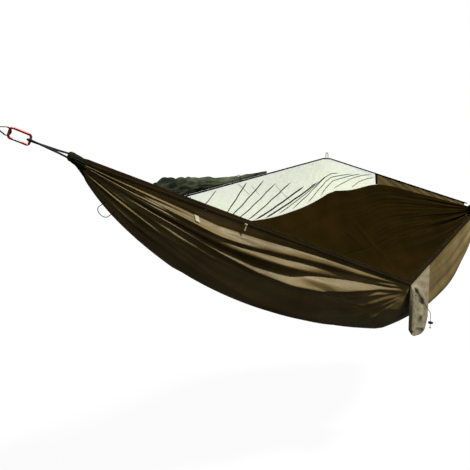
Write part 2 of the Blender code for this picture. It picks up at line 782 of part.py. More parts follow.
def suspension(end, anchor, gather_point, inward):
    """One end's pieces. inward is the side that the bed lies on, +1 at the head and -1 at the foot."""
    pull = unit(gather_point - anchor)
    across = np.array([0, 1.0, 0])
    rise = unit(np.cross(pull, across)) * (1 if inward > 0 else -1)
    reach = np.linalg.norm(gather_point - anchor)

    def spot(place_along, up_by=0.0, out_by=0.0):
        return anchor + pull * place_along + rise * up_by + across * out_by

    # Strap: two plies sewn together between a hang loop and the loop on the carabiner
    bar = carabiner_place - 0.5 * carabiner_length
    inner_centre = bar + rod_radius + strap_bear_gap - loop_radius
    outer_radius = loop_radius + ply_thickness
    hang_centre = loop_radius * math.cos(0.5 * math.pi / loop_steps)
    first = teardrop(hang_centre, outer_radius, loop_taper, ply_thickness, 1)
    second = teardrop(inner_centre, outer_radius, loop_taper, ply_thickness, -1)
    upper = first + second[::-1]
    outline = upper + [(a, -b) for a, b in upper[::-1]]
    holes = []
    for centre, toward in ((hang_centre, 1), (inner_centre, -1)):
        half = teardrop(centre, loop_radius, loop_taper - hole_tip_inset, 0.0, toward)
        holes.append(half + [(a, -b) for a, b in half[::-1]][1:])
    prism(end + "_tree_strap", outline, holes, anchor, strap_width, pull, across, webbing_red)

    # Carabiner: a rounded frame with a gate in its lower side
    half_long, half_wide, bend = 0.5 * carabiner_length, 0.5 * carabiner_width, carabiner_corner
    hinge_at = gate_half - gate_pivot_back
    frame_start = gate_half + gate_end_gap - tongue_length
    frame_finish = -gate_half - gate_end_gap
    corners = []
    for sign_a, sign_b, start_turn in ((1, -1, -0.5), (1, 1, 0.0), (-1, 1, 0.5), (-1, -1, 1.0)):
        for t in np.linspace(start_turn, start_turn + 0.5, arc_steps + 1) * math.pi:
            corner_a, corner_b = sign_a * (half_long - bend), sign_b * (half_wide - bend)
            corners.append((corner_a + bend * math.cos(t), corner_b + bend * math.sin(t)))
    outline_path = [(frame_start, -half_wide)] + corners + [(frame_finish, -half_wide)]
    frame_path = [spot(carabiner_place + a, b) for a, b in outline_path]
    frame = rod(end + "_carabiner", frame_path, rod_radius, rod_sides, anodised_red, across)
    pivot = spot(carabiner_place + hinge_at, -half_wide)
    slot_reach = gate_radius + gate_end_gap
    slot_from = frame_start - slot_overrun
    slot_to = hinge_at + slot_reach
    slot_centre = spot(carabiner_place + 0.5 * (slot_from + slot_to), -half_wide)
    slot_sizes = (slot_to - slot_from, 4 * rod_radius, tongue_thickness + 2 * tine_gap)
    slot = block(end + "_slot_tool", slot_centre, (pull, rise, across), slot_sizes, steel)
    boolean(frame, slot)
    hole_radius, hole_length = pin_radius + pin_gap, 4 * rod_radius
    pin_hole = cylinder(end + "_pin_tool", pivot, across, hole_radius, hole_length, pin_sides, steel)
    boolean(frame, pin_hole)
    pin_length = 2 * rod_radius - 2 * pin_gap
    cylinder(end + "_gate_pin", pivot, across, pin_radius, pin_length, pin_sides, steel)

    # Gate: round bar to the tines, then a flat tongue with a round end about the pin
    bar_end = frame_start - gate_shoulder_gap
    gate_path = [spot(carabiner_place + a, -half_wide) for a in (-gate_half, bar_end)]
    gate = rod(end + "_carabiner_gate", gate_path, gate_radius, rod_sides, steel, across)
    tongue_turns = np.linspace(-0.5 * math.pi, 0.5 * math.pi, loop_steps)
    tongue_start = bar_end - gate_radius
    tongue = [(hinge_at + gate_pivot_back * math.cos(t), gate_pivot_back * math.sin(t)) for t in tongue_turns]
    tongue = [(tongue_start, -gate_pivot_back)] + tongue + [(tongue_start, gate_pivot_back)]
    rings = [
        [spot(carabiner_place + a, b - half_wide, side * tongue_thickness) for a, b in tongue]
        for side in (-0.5, 0.5)
    ]
    boolean(gate, loft(end + "_tongue_tool", rings, steel), "UNION")
    gate_hole = cylinder(end + "_gate_hole_tool", pivot, across, hole_radius, hole_length, pin_sides, steel)
    boolean(gate, gate_hole)

    # Sling: one endless cord round the carabiner's bar, turned a quarter and through the gather's channel
    turn_radius = rod_radius + sling_radius + sling_gap
    bar_place = carabiner_place + half_long
    path = []
    for t in np.linspace(-0.5, 0.5, loop_steps) * math.pi:
        path.append(spot(bar_place - turn_radius * math.cos(t), 0, turn_radius * math.sin(t)))
    leg_shares = np.linspace(0, 1, arc_steps + 2)[1:-1]
    leg_start, leg_finish = bar_place, reach - sling_end_back - sling_spread

    def leg(share, side):
        twist = 0.5 * math.pi * (0.5 - 0.5 * math.cos(math.pi * share))
        out = turn_radius + (sling_spread - turn_radius) * share
        place_along = leg_start + (leg_finish - leg_start) * share
        return spot(place_along, side * out * math.sin(twist), side * out * math.cos(twist))

    path += [leg(share, 1) for share in leg_shares]
    for t in np.linspace(0.5, -0.5, loop_steps) * math.pi:
        path.append(spot(leg_finish + sling_spread * math.cos(t), sling_spread * math.sin(t)))
    path += [leg(share, -1) for share in leg_shares[::-1]]
    tube(end + "_sling", path, sling_radius, cord_black, closed=True)

    # Gather: the cloth's bunched end, with lumps all round, opening towards the panels
    cloth_end = section(np.array([gather_point[0] + inward * cloth_end_inset]))[0]
    face_x = gather_point[0] + inward * (cloth_end_inset - seat_gap - 0.5 * cloth_thickness)
    cloth_left, cloth_right = cloth_end[:, 1].min(), cloth_end[:, 1].max()
    cloth_top, cloth_low = max(cloth_end[0, 2], cloth_end[-1, 2]), cloth_end[:, 2].min()
    face_centre = np.array([face_x, 0.5 * (cloth_left + cloth_right), cloth_top])
    tip = spot(reach - gather_back)
    ring_shares = (0.0, 0.16, 0.34, 0.56, 0.78, 1.0)
    swell_shares = (0.80, 1.0, 1.04, 1.10, 1.30, 1.55)
    deep_shares = (0.0, 0.0, 0.02, 0.14, 0.50, 1.0)
    sides = 2 * gather_lumps + 2
    angle = np.arange(sides) * (2 * math.pi / sides)
    rings = []
    for share, swell, deep in zip(ring_shares, swell_shares, deep_shares):
        amount = gather_lump_share if 0 < share < 1 else 0
        wavy = 1 - amount * (0.5 + 0.5 * np.cos(gather_lumps * angle + 3 * share))
        straight = tip + (gather_point - tip) * share
        centre = straight + (face_centre - straight) * deep
        normal_way = unit(pull * (1 - share) + np.array([inward, 0, 0]) * share)
        up_way = unit(np.cross(normal_way, across)) * (1 if inward > 0 else -1)
        round_half = gather_tip_radius * swell
        half_low = round_half + deep * (cloth_top - cloth_low + gather_margin - round_half)
        half_up = round_half + deep * (0.5 * hem_height + gather_margin - round_half)
        half_out = round_half + deep * (0.5 * (cloth_right - cloth_left) + gather_margin - round_half)
        half_high = np.where(np.sin(angle) > 0, half_up, half_low)
        upwards = (half_high * np.sin(angle) * wavy)[:, None] * up_way
        rings.append(centre + upwards + (half_out * np.cos(angle) * wavy)[:, None] * across)
    gather = loft(end + "_gather", rings, nylon_dark, smooth_angle=60)
    channel = meshed(tube(end + "_channel_tool", path, sling_radius + channel_gap, cord_black, closed=True))
    boolean(gather, channel)


suspension("head", np.zeros(3), head_end, 1)
suspension("foot", np.array([span_x, 0, -foot_anchor_drop]), foot_end, -1)


# Stuff sack: hangs straight down from a round edge that turns about a line under the zip's bead
sack_along, sack_out, sack_down = foot_frame
axis_down = bead_down + bead_radius + sack_hang_gap + sack_top_radius
axis_line = hem_corners(bead_out, axis_down)
axis_start = axis_line[1] + sack_along * sack_start
down_world = np.array([0, 0, -1.0])
sack_rings = []
t = np.linspace(0, 1, sack_stations)
run = np.array([sack_along * (sack_width * share) for share in t])
for place_along, share in zip(run, t):
    top = axis_start + place_along
    edge_drop = sack_near_drop + (sack_far_drop - sack_near_drop) * share
    s = np.linspace(0, 1, sack_across)
    rounding = (4 * share * (1 - share)) ** 0.5
    fullness = rounding * np.sin(math.pi * s) ** 0.8
    half_thick = sack_top_radius + (0.5 * sack_thickness - sack_top_radius) * fullness
    front = [top + down_world * (edge_drop * v) + sack_out * h for v, h in zip(s, half_thick)]
    back = [top + down_world * (edge_drop * v) - sack_out * h for v, h in zip(s, half_thick)][::-1]
    crown = [
        top + sack_out * (sack_top_radius * math.cos(a)) - sack_down * (sack_top_radius * math.sin(a))
        for a in np.linspace(0, math.pi, arc_steps + 1)[1:-1]
    ]
    sack_rings.append(back + crown[::-1] + front)
loft("stuff_sack", sack_rings, tab_beige)

# Drawcord: out of the sack's near top corner, across its face, down its far edge and free
cord_out = 0.5 * sack_thickness + drawcord_radius + drawcord_gap
cord_top = axis_start + sack_along * (0.04 * sack_width) + down_world * (0.05 * sack_near_drop)
cord_along = sack_along * (sack_width + lock_radius + seat_gap)
cord_low = axis_start + cord_along + down_world * (0.80 * sack_far_drop)
cord_run = np.linspace(0, 1, loop_steps)
cord_path = [cord_top + (cord_low - cord_top) * share + sack_out * cord_out for share in cord_run]
lock_centre = cord_path[-1] + down_world * (0.5 * drawcord_tail)
cord_path += [cord_path[-1] + down_world * drawcord_tail]
tube("sack_drawcord", cord_path, drawcord_radius, cord_black)

# Cord lock: a barrel across the cord, bored for it, with a sprung plunger that slides in its front
lock_body = cylinder("cord_lock", lock_centre, sack_out, lock_radius, lock_length, pin_sides, lock_black)
cord_way = drawcord_radius + lock_hole_gap
lock_bore = cylinder(
    "lock_bore_tool", lock_centre, down_world, cord_way, 4 * lock_radius, pin_sides, lock_black)
boolean(lock_body, lock_bore)
well_length = 0.5 * lock_length + cord_way + plunger_travel + plunger_gap
well_centre = lock_centre + sack_out * (0.5 * lock_length + slot_overrun - 0.5 * (well_length + slot_overrun))
well_radius, well_cut = plunger_radius + plunger_gap, well_length + slot_overrun
lock_well = cylinder("lock_well_tool", well_centre, sack_out, well_radius, well_cut, pin_sides, lock_black)
boolean(lock_body, lock_well)
plunger_length = 0.5 * lock_length + cord_way + plunger_proud
plunger_centre = lock_centre + sack_out * (0.5 * lock_length + plunger_proud - 0.5 * plunger_length)
plunger = cylinder(
    "cord_lock_plunger", plunger_centre, sack_out, plunger_radius, plunger_length, pin_sides, lock_black)
plunger_slot = block(
    "plunger_slot_tool", lock_centre + sack_out * (0.5 * plunger_travel), (sack_out, down_world, sack_along),
    (2 * cord_way + plunger_travel, 4 * plunger_radius, 2 * cord_way), lock_black)
boolean(plunger, plunger_slot)


# Side tab and keel loop: both start on the true facets, found by a line shot at the finished panel
def outer_facet(panel_object, x, share):
    """Where a line along the cloth's normal, from outside, meets the panel, and that facet's normal."""
    middle, normal = bed_points(np.array([x, x + half_seam]), np.array([share, share + half_seam]))
    tree = BVHTree.FromObject(panel_object, bpy.context.evaluated_depsgraph_get())
    away = Vector(middle[0, 0] + normal[0, 0] * shot_length)
    place_hit, facet_normal, _, _ = tree.ray_cast(away, Vector(-normal[0, 0]))
    return np.array(place_hit), np.array(facet_normal)


tab_x = head_x + side_tab_reach
tab_out = np.array([0, -1.0, 0]) + head_frame[0] * head_frame[0][1]
tab_out = unit(tab_out - down_world * (tab_out @ down_world))
tab_along = unit(np.cross(tab_out, down_world))
tab_top = outer_facet(near_panel, tab_x, side_tab_share)[0]
near_tree = BVHTree.FromObject(near_panel, bpy.context.evaluated_depsgraph_get())
tab_seats = []
for over in np.linspace(-0.5, 0.5, arc_steps) * side_tab_width:
    for under in np.linspace(0, 1, arc_steps) * side_tab_height:
        start = tab_top + tab_along * over + down_world * under + tab_out * shot_length
        tab_seats.append(shot_length - near_tree.ray_cast(Vector(start), Vector(-tab_out))[3])
tab_top = tab_top + tab_out * (max(tab_seats) + seat_gap + 0.5 * side_tab_thickness)
block(
    "side_tab", tab_top + down_world * (0.5 * side_tab_height), (tab_along, down_world, tab_out),
    (side_tab_width, side_tab_height, side_tab_thickness), tab_beige)

keel_x = [head_x + keel_loop_reach + side * keel_loop_half for side in (-1, 1)]
keel_feet = [outer_facet(centre_cloth, x, keel_loop_share) for x in keel_x]
keel_normal = unit(keel_feet[0][1] + keel_feet[1][1])
keel_from, keel_to = [hit + normal * seat_gap for hit, normal in keel_feet]
keel_mid, keel_half = 0.5 * (keel_from + keel_to), 0.5 * (keel_to - keel_from)
keel_turns = np.linspace(0, math.pi, loop_steps)
keel_path = [keel_from]
for t in keel_turns:
    keel_out = keel_loop_drop - keel_loop_half + keel_loop_half * math.sin(t)
    keel_path.append(keel_mid - keel_half * math.cos(t) + keel_normal * keel_out)
keel_path.append(keel_to)
tube("keel_loop", keel_path, keel_loop_radius, cord_black)
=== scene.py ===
import math

import bmesh
import bpy
import numpy as np
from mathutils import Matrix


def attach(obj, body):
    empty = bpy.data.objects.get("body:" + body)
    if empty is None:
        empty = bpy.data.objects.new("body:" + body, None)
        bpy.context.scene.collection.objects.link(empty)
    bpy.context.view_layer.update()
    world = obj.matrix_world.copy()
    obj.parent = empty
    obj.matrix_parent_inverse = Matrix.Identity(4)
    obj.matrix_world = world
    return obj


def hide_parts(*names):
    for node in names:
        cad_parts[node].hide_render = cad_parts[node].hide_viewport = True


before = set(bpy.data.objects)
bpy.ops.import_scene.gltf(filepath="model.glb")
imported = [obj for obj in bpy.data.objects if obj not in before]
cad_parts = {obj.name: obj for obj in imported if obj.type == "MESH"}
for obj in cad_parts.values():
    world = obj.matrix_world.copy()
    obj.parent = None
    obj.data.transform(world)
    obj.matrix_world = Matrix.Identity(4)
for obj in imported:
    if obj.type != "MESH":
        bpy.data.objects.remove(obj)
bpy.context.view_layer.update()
print("scene: packed frame loaded")

# Where things hang, repeated from the CAD source, in metres; belly and lean are shares of the sag
layout = {
    "headEnd": (0.40, 0.0, -0.145),
    "footEnd": (3.10, 0.0, -0.38),
    "anchors": ((0.0, 0.0, 0.0), (3.50, 0.0, -0.235)),
    "nearLow": (1.75, -0.404, -0.669),
    "corner": (0.80, 0.223, -0.322),
    "peak": (2.084, 0.40, -0.087),
    "peakFlat": 0.06,
    "gatherHalf": 0.024,
    "hemHeight": 0.016,
    "hemInset": 0.045,
    "clothBelowHem": 0.0010,
    "clothInset": 0.034,
    "gussetHeight": 0.062,
    "seams": (0.36, 0.70),
    "keelSag": 0.65,
    "belly": 0.08,
    "lean": 0.157,
}
headEnd, footEnd = np.array(layout["headEnd"]), np.array(layout["footEnd"])
nearLow = np.array(layout["nearLow"])
headX, span = headEnd[0], footEnd[0] - headEnd[0]
worldDown = np.array([0.0, 0.0, -1.0])
sideways = np.array([0, 1.0, 0])


def unit(v):
    v = np.asarray(v, float)
    return v / np.linalg.norm(v, axis=-1, keepdims=True)


def ramp(x, low, high):  # 0 below low, 1 above high, with level ends
    t = np.clip((x - low) / (high - low), 0, 1)
    return t * t * (3 - 2 * t)


def bell(x, centre, width):
    return np.exp(-(((x - centre) / width) ** 2))


def linear(hexColour):  # sRGB hex to the linear value that a shader takes
    parts = [int(hexColour[i : i + 2], 16) / 255 for i in (0, 2, 4)]
    return tuple(p / 12.92 if p <= 0.04045 else ((p + 0.055) / 1.055) ** 2.4 for p in parts) + (1.0,)


def joinTo(tree, node, links):  # links other nodes' sockets to a node's inputs
    for key, source in links.items():
        tree.links.new(source, node.inputs[key])


# Adds a node and gives its outputs; settings are its properties or the values of its inputs
def add(tree, kind, settings, links=None):
    made = tree.nodes.new("ShaderNode" + kind)
    for key, value in settings.items():
        if isinstance(key, str) and hasattr(made, key):
            setattr(made, key, value)
        else:
            made.inputs[key].default_value = value
    joinTo(tree, made, links or {})
    return made.outputs


def newMaterial(name, colour, roughness, metallic=0.0, specular=0.5):
    material = bpy.data.materials.new(name)
    material.use_nodes = True
    tree = material.node_tree
    shader = tree.nodes["Principled BSDF"]
    shader.inputs["Base Color"].default_value = colour
    shader.inputs["Roughness"].default_value = roughness
    shader.inputs["Metallic"].default_value = metallic
    if not metallic:
        shader.inputs["Specular IOR Level"].default_value = specular
    return material, tree, shader


# Each material's two tones, as sRGB hex. The inner cloth's tones are dark as painted shade, standing in for
# the shade inside the bed
finish = {
    "clothOuter": ("74602E", "927E4A"), "clothInnerPaintedShade": ("261C02", "322405"), "hem": ("1A1304", "271D07"),
    "gather": ("1E2410", "4A4A26"), "sack": ("A89C7C", "B4A888"), "zipTape": ("241B08", "302510"),
    # the webbing's black edge tone is partly painted shade for the strap's shaded lower edge
    "tab": ("C9BFA0", "DCD3B6"), "cord": ("0C0C0B", "24241F"), "webbing": ("8A2A24", "120E0C"),
    "carabiner": ("C8443A", "E8705E"), "steel": ("A8A8A4", "D0D0CC"), "lock": ("101011", "1B1B1C"),
    "slider": ("B5AA88", "D2C8A6"), "thread": ("6A5C38", "8A7A50"), "strapThread": ("0D0C0C", "1A1816"),
    "net": ("DCF07C", "EEFF9C"), "netFolded": ("18210E", "2A381A"), "netBunched": ("2A3024", "7E8666"),
}
tones = {name: [linear(tone) for tone in pair] for name, pair in finish.items()}


# Nylon taffeta, calendered: plain weave too fine to see, a soft satin sheen, small crush creases
def nylonMaterial(name, tone, roughness, creaseScale=55.0, sheen=0.10, specular=0.30, creaseDepth=0.004):
    material, tree, shader = newMaterial(name, tone[1], roughness, specular=specular)
    shader.inputs["Sheen Weight"].default_value = sheen
    shader.inputs["Sheen Roughness"].default_value = 0.4
    shader.inputs["Sheen Tint"].default_value = linear("D8CCA8")
    coords = add(tree, "TexCoord", {})["Object"]
    cloth = add(tree, "UVMap", {"uv_map": "cloth"})["UV"]
    cloud = add(tree, "TexNoise", {"Scale": 7.0, "Detail": 5.0}, {"Vector": coords})["Fac"]
    spread = add(tree, "MapRange", {"From Min": 0.32, "From Max": 0.68}, {"Value": cloud})["Result"]
    colour = add(tree, "Mix", {"data_type": "RGBA", 6: tone[0], 7: tone[1]}, {"Factor": spread})[2]
    crush = add(tree, "Mapping", {"Scale": (0.35, 1.0, 1.0)}, {"Vector": cloth})["Vector"]
    crease = add(
        tree, "TexNoise", {"Scale": creaseScale, "Detail": 4.0, "Roughness": 0.55, "Distortion": 0.6},
        {"Vector": crush})["Fac"]
    # the real threads are 0.1 mm apart: drawn 3.2 mm apart, 0.314 over the scale, so that they show up close
    warp, weft = [
        add(tree, "TexWave", {"Scale": 98.0, "bands_direction": axis}, {"Vector": cloth})["Fac"]
        for axis in ("X", "Y")]
    weave = add(tree, "Math", {"operation": "MULTIPLY"}, {0: warp, 1: weft})["Value"]
    fine = add(tree, "Math", {"operation": "MULTIPLY", 1: 0.10}, {0: weave})["Value"]
    height = add(tree, "Math", {"operation": "ADD"}, {0: crease, 1: fine})["Value"]
    bump = add(tree, "Bump", {"Strength": 0.5, "Distance": creaseDepth}, {"Height": height})["Normal"]
    joinTo(tree, shader, {"Base Color": colour, "Normal": bump})
    return material


nylonOuter = nylonMaterial("nylonTaffetaOuter", tones["clothOuter"], 0.44, sheen=0.10, specular=0.52)
# the inner face is far darker than the outer: painted shade for the inside of the bed
nylonInnerPaintedShade = nylonMaterial("nylonTaffetaInnerPaintedShade", tones["clothInnerPaintedShade"], 0.85, sheen=0.0, specular=0.03)
nylonHem = nylonMaterial("nylonHemBinding", tones["hem"], 0.8, 140.0, sheen=0.0, specular=0.06)
nylonGather = nylonMaterial("nylonTaffetaGathered", tones["gather"], 0.6, 60.0, specular=0.15)
sackCloth = nylonMaterial("nylonSackCloth", tones["sack"], 0.45, 60.0, creaseDepth=0.0025)
tapeWeb = nylonMaterial("polyesterZipTape", tones["zipTape"], 0.8, 200.0, sheen=0.0, specular=0.06)


# Braided polyester cord: round strands 4 mm apart, laid over each other on a bias
def cordMaterial(name, tone):
    material, tree, shader = newMaterial(name, tone[0], 0.6)
    lay = add(tree, "UVMap", {"uv_map": "cloth"})["UV"]
    ways = [
        add(tree, "Mapping", {"Rotation": (0, 0, turn)}, {"Vector": lay})["Vector"] for turn in (0.8, -0.8)]
    one, two = [add(tree, "TexWave", {"Scale": 75.0}, {"Vector": way})["Fac"] for way in ways]
    both = add(tree, "Math", {"operation": "MAXIMUM"}, {0: one, 1: two})["Value"]
    colour = add(tree, "Mix", {"data_type": "RGBA", 6: tone[0], 7: tone[1]}, {"Factor": both})[2]
    bump = add(tree, "Bump", {"Strength": 0.6, "Distance": 0.0008}, {"Height": both})["Normal"]
    joinTo(tree, shader, {"Base Color": colour, "Normal": bump})
    return material


cordBlack = cordMaterial("polyesterCordBlack", tones["cord"])


# Woven webbing: red-brown middle, black along both edges; the black is partly painted shade, standing in for
# the strap's shaded lower edge, and drawn as a selvedge on both sides. Its ribs are drawn 2.4 mm apart across
# the strap and 2 mm apart along it, coarser than real ones, so that they show
def webbingMaterial(tone):
    material, tree, shader = newMaterial("polyesterWebbing", linear("7A2420"), 0.7)
    cloth = add(tree, "UVMap", {"uv_map": "cloth"})["UV"]
    ribs, ends = [
        add(tree, "TexWave", {"Scale": scale, "bands_direction": axis}, {"Vector": cloth})["Fac"]
        for scale, axis in ((130.0, "X"), (160.0, "Y"))]
    axes = add(tree, "SeparateXYZ", {}, {"Vector": cloth})
    side = add(tree, "Math", {"operation": "ABSOLUTE"}, {0: axes["Y"]})["Value"]
    # black band along both edges: partly painted shade for the strap's shaded lower edge
    edge = add(tree, "MapRange", {"From Min": 0.0048, "From Max": 0.0054}, {"Value": side})["Result"]
    edgeShadeStriped = add(tree, "Mix", {"data_type": "RGBA", 6: tone[0], 7: tone[1]}, {"Factor": edge})[2]
    worn = add(tree, "TexNoise", {"Scale": 260.0, "Detail": 3.0}, {"Vector": cloth})["Fac"]
    colour = add(
        tree, "Mix", {"data_type": "RGBA", "blend_type": "MULTIPLY", "Factor": 0.45},
        {6: edgeShadeStriped, 7: worn})[2]
    rib = add(tree, "Math", {"operation": "ADD"}, {0: ribs, 1: ends})["Value"]
    bump = add(tree, "Bump", {"Strength": 0.5, "Distance": 0.0006}, {"Height": rib})["Normal"]
    joinTo(tree, shader, {"Base Color": colour, "Normal": bump})
    return material


webbing = webbingMaterial(tones["webbing"])


# Anodised or plain metal: brushed, with small scratches that break the highlight
def metalMaterial(name, tone, roughness):
    material, tree, shader = newMaterial(name, tone[1], roughness, metallic=1.0)
    coords = add(tree, "TexCoord", {})["Object"]
    cloud = add(tree, "TexNoise", {"Scale": 220.0, "Detail": 6.0}, {"Vector": coords})["Fac"]
    colour = add(tree, "Mix", {"data_type": "RGBA", 6: tone[0], 7: tone[1]}, {"Factor": cloud})[2]
    rough = add(
        tree, "MapRange", {"To Min": roughness - 0.07, "To Max": roughness + 0.1},
        {"Value": cloud})["Result"]
    scratch = add(tree, "TexNoise", {"Scale": 1400.0, "Detail": 2.0}, {"Vector": coords})["Fac"]
    bump = add(tree, "Bump", {"Strength": 0.12, "Distance": 0.0002}, {"Height": scratch})["Normal"]
    joinTo(tree, shader, {"Base Color": colour, "Roughness": rough, "Normal": bump})
    return material


anodisedRed = metalMaterial("anodisedAluminiumRed", tones["carabiner"], 0.32)
wireSteel = metalMaterial("stainlessSteel", tones["steel"], 0.26)


# Moulded plastic, enamel and sewing thread: a fine grain in tone and relief
def mouldedMaterial(name, tone, roughness):
    material, tree, shader = newMaterial(name, tone[1], roughness)
    coords = add(tree, "TexCoord", {})["Object"]
    grain = add(tree, "TexNoise", {"Scale": 900.0, "Detail": 3.0}, {"Vector": coords})["Fac"]
    colour = add(tree, "Mix", {"data_type": "RGBA", 6: tone[0], 7: tone[1]}, {"Factor": grain})[2]
    bump = add(tree, "Bump", {"Strength": 0.2, "Distance": 0.0003}, {"Height": grain})["Normal"]
    joinTo(tree, shader, {"Base Color": colour, "Normal": bump})
    return material


acetalBlack = mouldedMaterial("acetalBlack", tones["lock"], 0.38)
zincBeige = mouldedMaterial("enamelledZincBeige", tones["slider"], 0.3)
threadBeige = mouldedMaterial("polyesterThread", tones["thread"], 0.6)


# Knitted mesh: open squares between threads, so it veils what is behind. The real holes are finer: drawn
# every pitch, of which threads cover threadShare; a second layer behind covers doubled of each hole
def netMaterial(name, tone, pitch, threadShare, doubled=0.0):
    material, tree, shader = newMaterial(name, tone[1], 0.8, specular=0.1)
    cloth = add(tree, "UVMap", {"uv_map": "cloth"})["UV"]
    axes = add(tree, "SeparateXYZ", {}, {"Vector": cloth})
    threads = []
    for axis in ("X", "Y"):
        turns = add(tree, "Math", {"operation": "DIVIDE", 1: pitch}, {0: axes[axis]})["Value"]
        part = add(tree, "Math", {"operation": "FRACT"}, {0: turns})["Value"]
        threads.append(add(tree, "Math", {"operation": "LESS_THAN", 1: threadShare}, {0: part})["Value"])
    thread = add(tree, "Math", {"operation": "MAXIMUM"}, {0: threads[0], 1: threads[1]})["Value"]
    cover = add(tree, "Math", {"operation": "MAXIMUM", 1: doubled}, {0: thread})["Value"]
    cloud = add(tree, "TexNoise", {"Scale": 30.0, "Detail": 4.0}, {"Vector": cloth})["Fac"]
    colour = add(tree, "Mix", {"data_type": "RGBA", 6: tone[0], 7: tone[1]}, {"Factor": cloud})[2]
    bump = add(tree, "Bump", {"Strength": 0.3, "Distance": 0.0005}, {"Height": thread})["Normal"]
    joinTo(tree, shader, {"Alpha": cover, "Base Color": colour, "Normal": bump})
    return material


netClear = netMaterial("polyesterMeshClear", tones["net"], 0.0030, 0.130)
netFolded = netMaterial("polyesterMeshFolded", tones["netFolded"], 0.0030, 0.30, 0.70)
netBunched = nylonMaterial(
    "polyesterMeshBunched", tones["netBunched"], 0.8, 110.0, sheen=0.0, specular=0.08, creaseDepth=0.008)
print("scene: materials made")


def runLengths(points):  # the length of a line up to each of its points
    steps = np.linalg.norm(np.diff(np.asarray(points, float), axis=0), axis=1)
    return np.concatenate([[0], np.cumsum(steps)])


def pairGrid(first, second):  # a pair of values for each point of a grid
    return np.stack(np.broadcast_arrays(first, second), axis=-1)


# Quads of a grid of points, row by row
def gridFaces(rows, columns, closedAcross=False, closedAlong=False):
    index = np.arange(rows * columns).reshape(rows, columns)
    if closedAcross:
        index = np.concatenate([index, index[:, :1]], axis=1)
    if closedAlong:
        index = np.concatenate([index, index[:1]], axis=0)
    return np.stack([index[:-1, :-1], index[:-1, 1:], index[1:, 1:], index[1:, :-1]], axis=-1).reshape(-1, 4)


# A mesh from whole arrays: quads, then extra faces of any count; uv is one pair for each point, in metres
def meshPiece(name, points, faces, material, uv=None, extra=(), slots=None):
    points = np.asarray(points, float).reshape(-1, 3)
    allFaces = [tuple(f) for f in np.asarray(faces).tolist()] + [tuple(f) for f in extra]
    mesh = bpy.data.meshes.new(name)
    mesh.from_pydata(points.tolist(), [], allFaces)
    for given in material if isinstance(material, (list, tuple)) else [material]:
        mesh.materials.append(given)
    corners = np.empty(len(mesh.loops), np.int32)
    mesh.loops.foreach_get("vertex_index", corners)
    uv = points[:, [0, 2]] if uv is None else np.asarray(uv, float).reshape(-1, 2)
    mesh.uv_layers.new(name="cloth").data.foreach_set("uv", uv[corners].ravel())
    if slots is not None:
        mesh.polygons.foreach_set("material_index", np.asarray(slots, np.int32))
    mesh.shade_smooth()
    piece = bpy.data.objects.new(name, mesh)
    bpy.context.scene.collection.objects.link(piece)
    return piece


def outward(piece):  # turns every face out, for closed forms
    work = bmesh.new()
    work.from_mesh(piece.data)
    bmesh.ops.remove_doubles(work, verts=work.verts, dist=1e-6)
    bmesh.ops.recalc_face_normals(work, faces=work.faces)
    work.to_mesh(piece.data)
    work.free()
    return piece


# The body a piece moves with and, if it stands for one, the CAD piece it replaces
def place(piece, body, node=None):
    if node:
        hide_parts(node)
    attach(piece, body)
    return piece


# A sheet with a wall: each point of its middle surface goes half the thickness both ways along the normal,
# the cross product of the grid's two directions, and a rim closes the edge
def clothPiece(name, middle, thickness, outerMaterial, innerMaterial, flipped=False):
    rows, columns = middle.shape[:2]
    normal = unit(np.cross(np.gradient(middle, axis=0), np.gradient(middle, axis=1))) * (-1 if flipped else 1)
    outer, inner = middle + normal * (0.5 * thickness), middle - normal * (0.5 * thickness)
    stepAlong, stepOver = [np.linalg.norm(np.diff(middle, axis=k), axis=2) for k in (0, 1)]
    runAlong = np.concatenate([np.zeros((1, columns)), np.cumsum(stepAlong, axis=0)])
    runOver = np.concatenate([np.zeros((rows, 1)), np.cumsum(stepOver, axis=1)], axis=1)
    uv = pairGrid(runAlong[:, columns // 2, None], runOver)
    quads, count = gridFaces(rows, columns), rows * columns
    index = np.arange(count).reshape(rows, columns)
    rim = np.concatenate([index[0, :-1], index[:-1, -1], index[-1, :0:-1], index[:0:-1, 0]])
    after = np.roll(rim, -1)
    wall = np.stack([rim, rim + count, after + count, after], axis=1)
    if flipped:
        faces = np.concatenate([quads, quads[:, ::-1] + count, wall])
    else:
        faces = np.concatenate([quads[:, ::-1], quads + count, wall[:, ::-1]])
    slots = np.concatenate([np.zeros(len(quads)), np.ones(len(quads)), np.zeros(len(wall))])
    return meshPiece(
        name, np.concatenate([outer.reshape(-1, 3), inner.reshape(-1, 3)]), faces,
        [outerMaterial, innerMaterial], np.concatenate([uv.reshape(-1, 2)] * 2), slots=slots)


# A tube from rings of points, with a face over each end unless the rings come round again
def tubePiece(name, rings, material, uv, closed=False):
    rows, columns = rings.shape[:2]
    caps = () if closed else (range(columns)[::-1], range((rows - 1) * columns, rows * columns))
    return outward(meshPiece(name, rings, gridFaces(rows, columns, True, closed), material, uv, extra=caps))


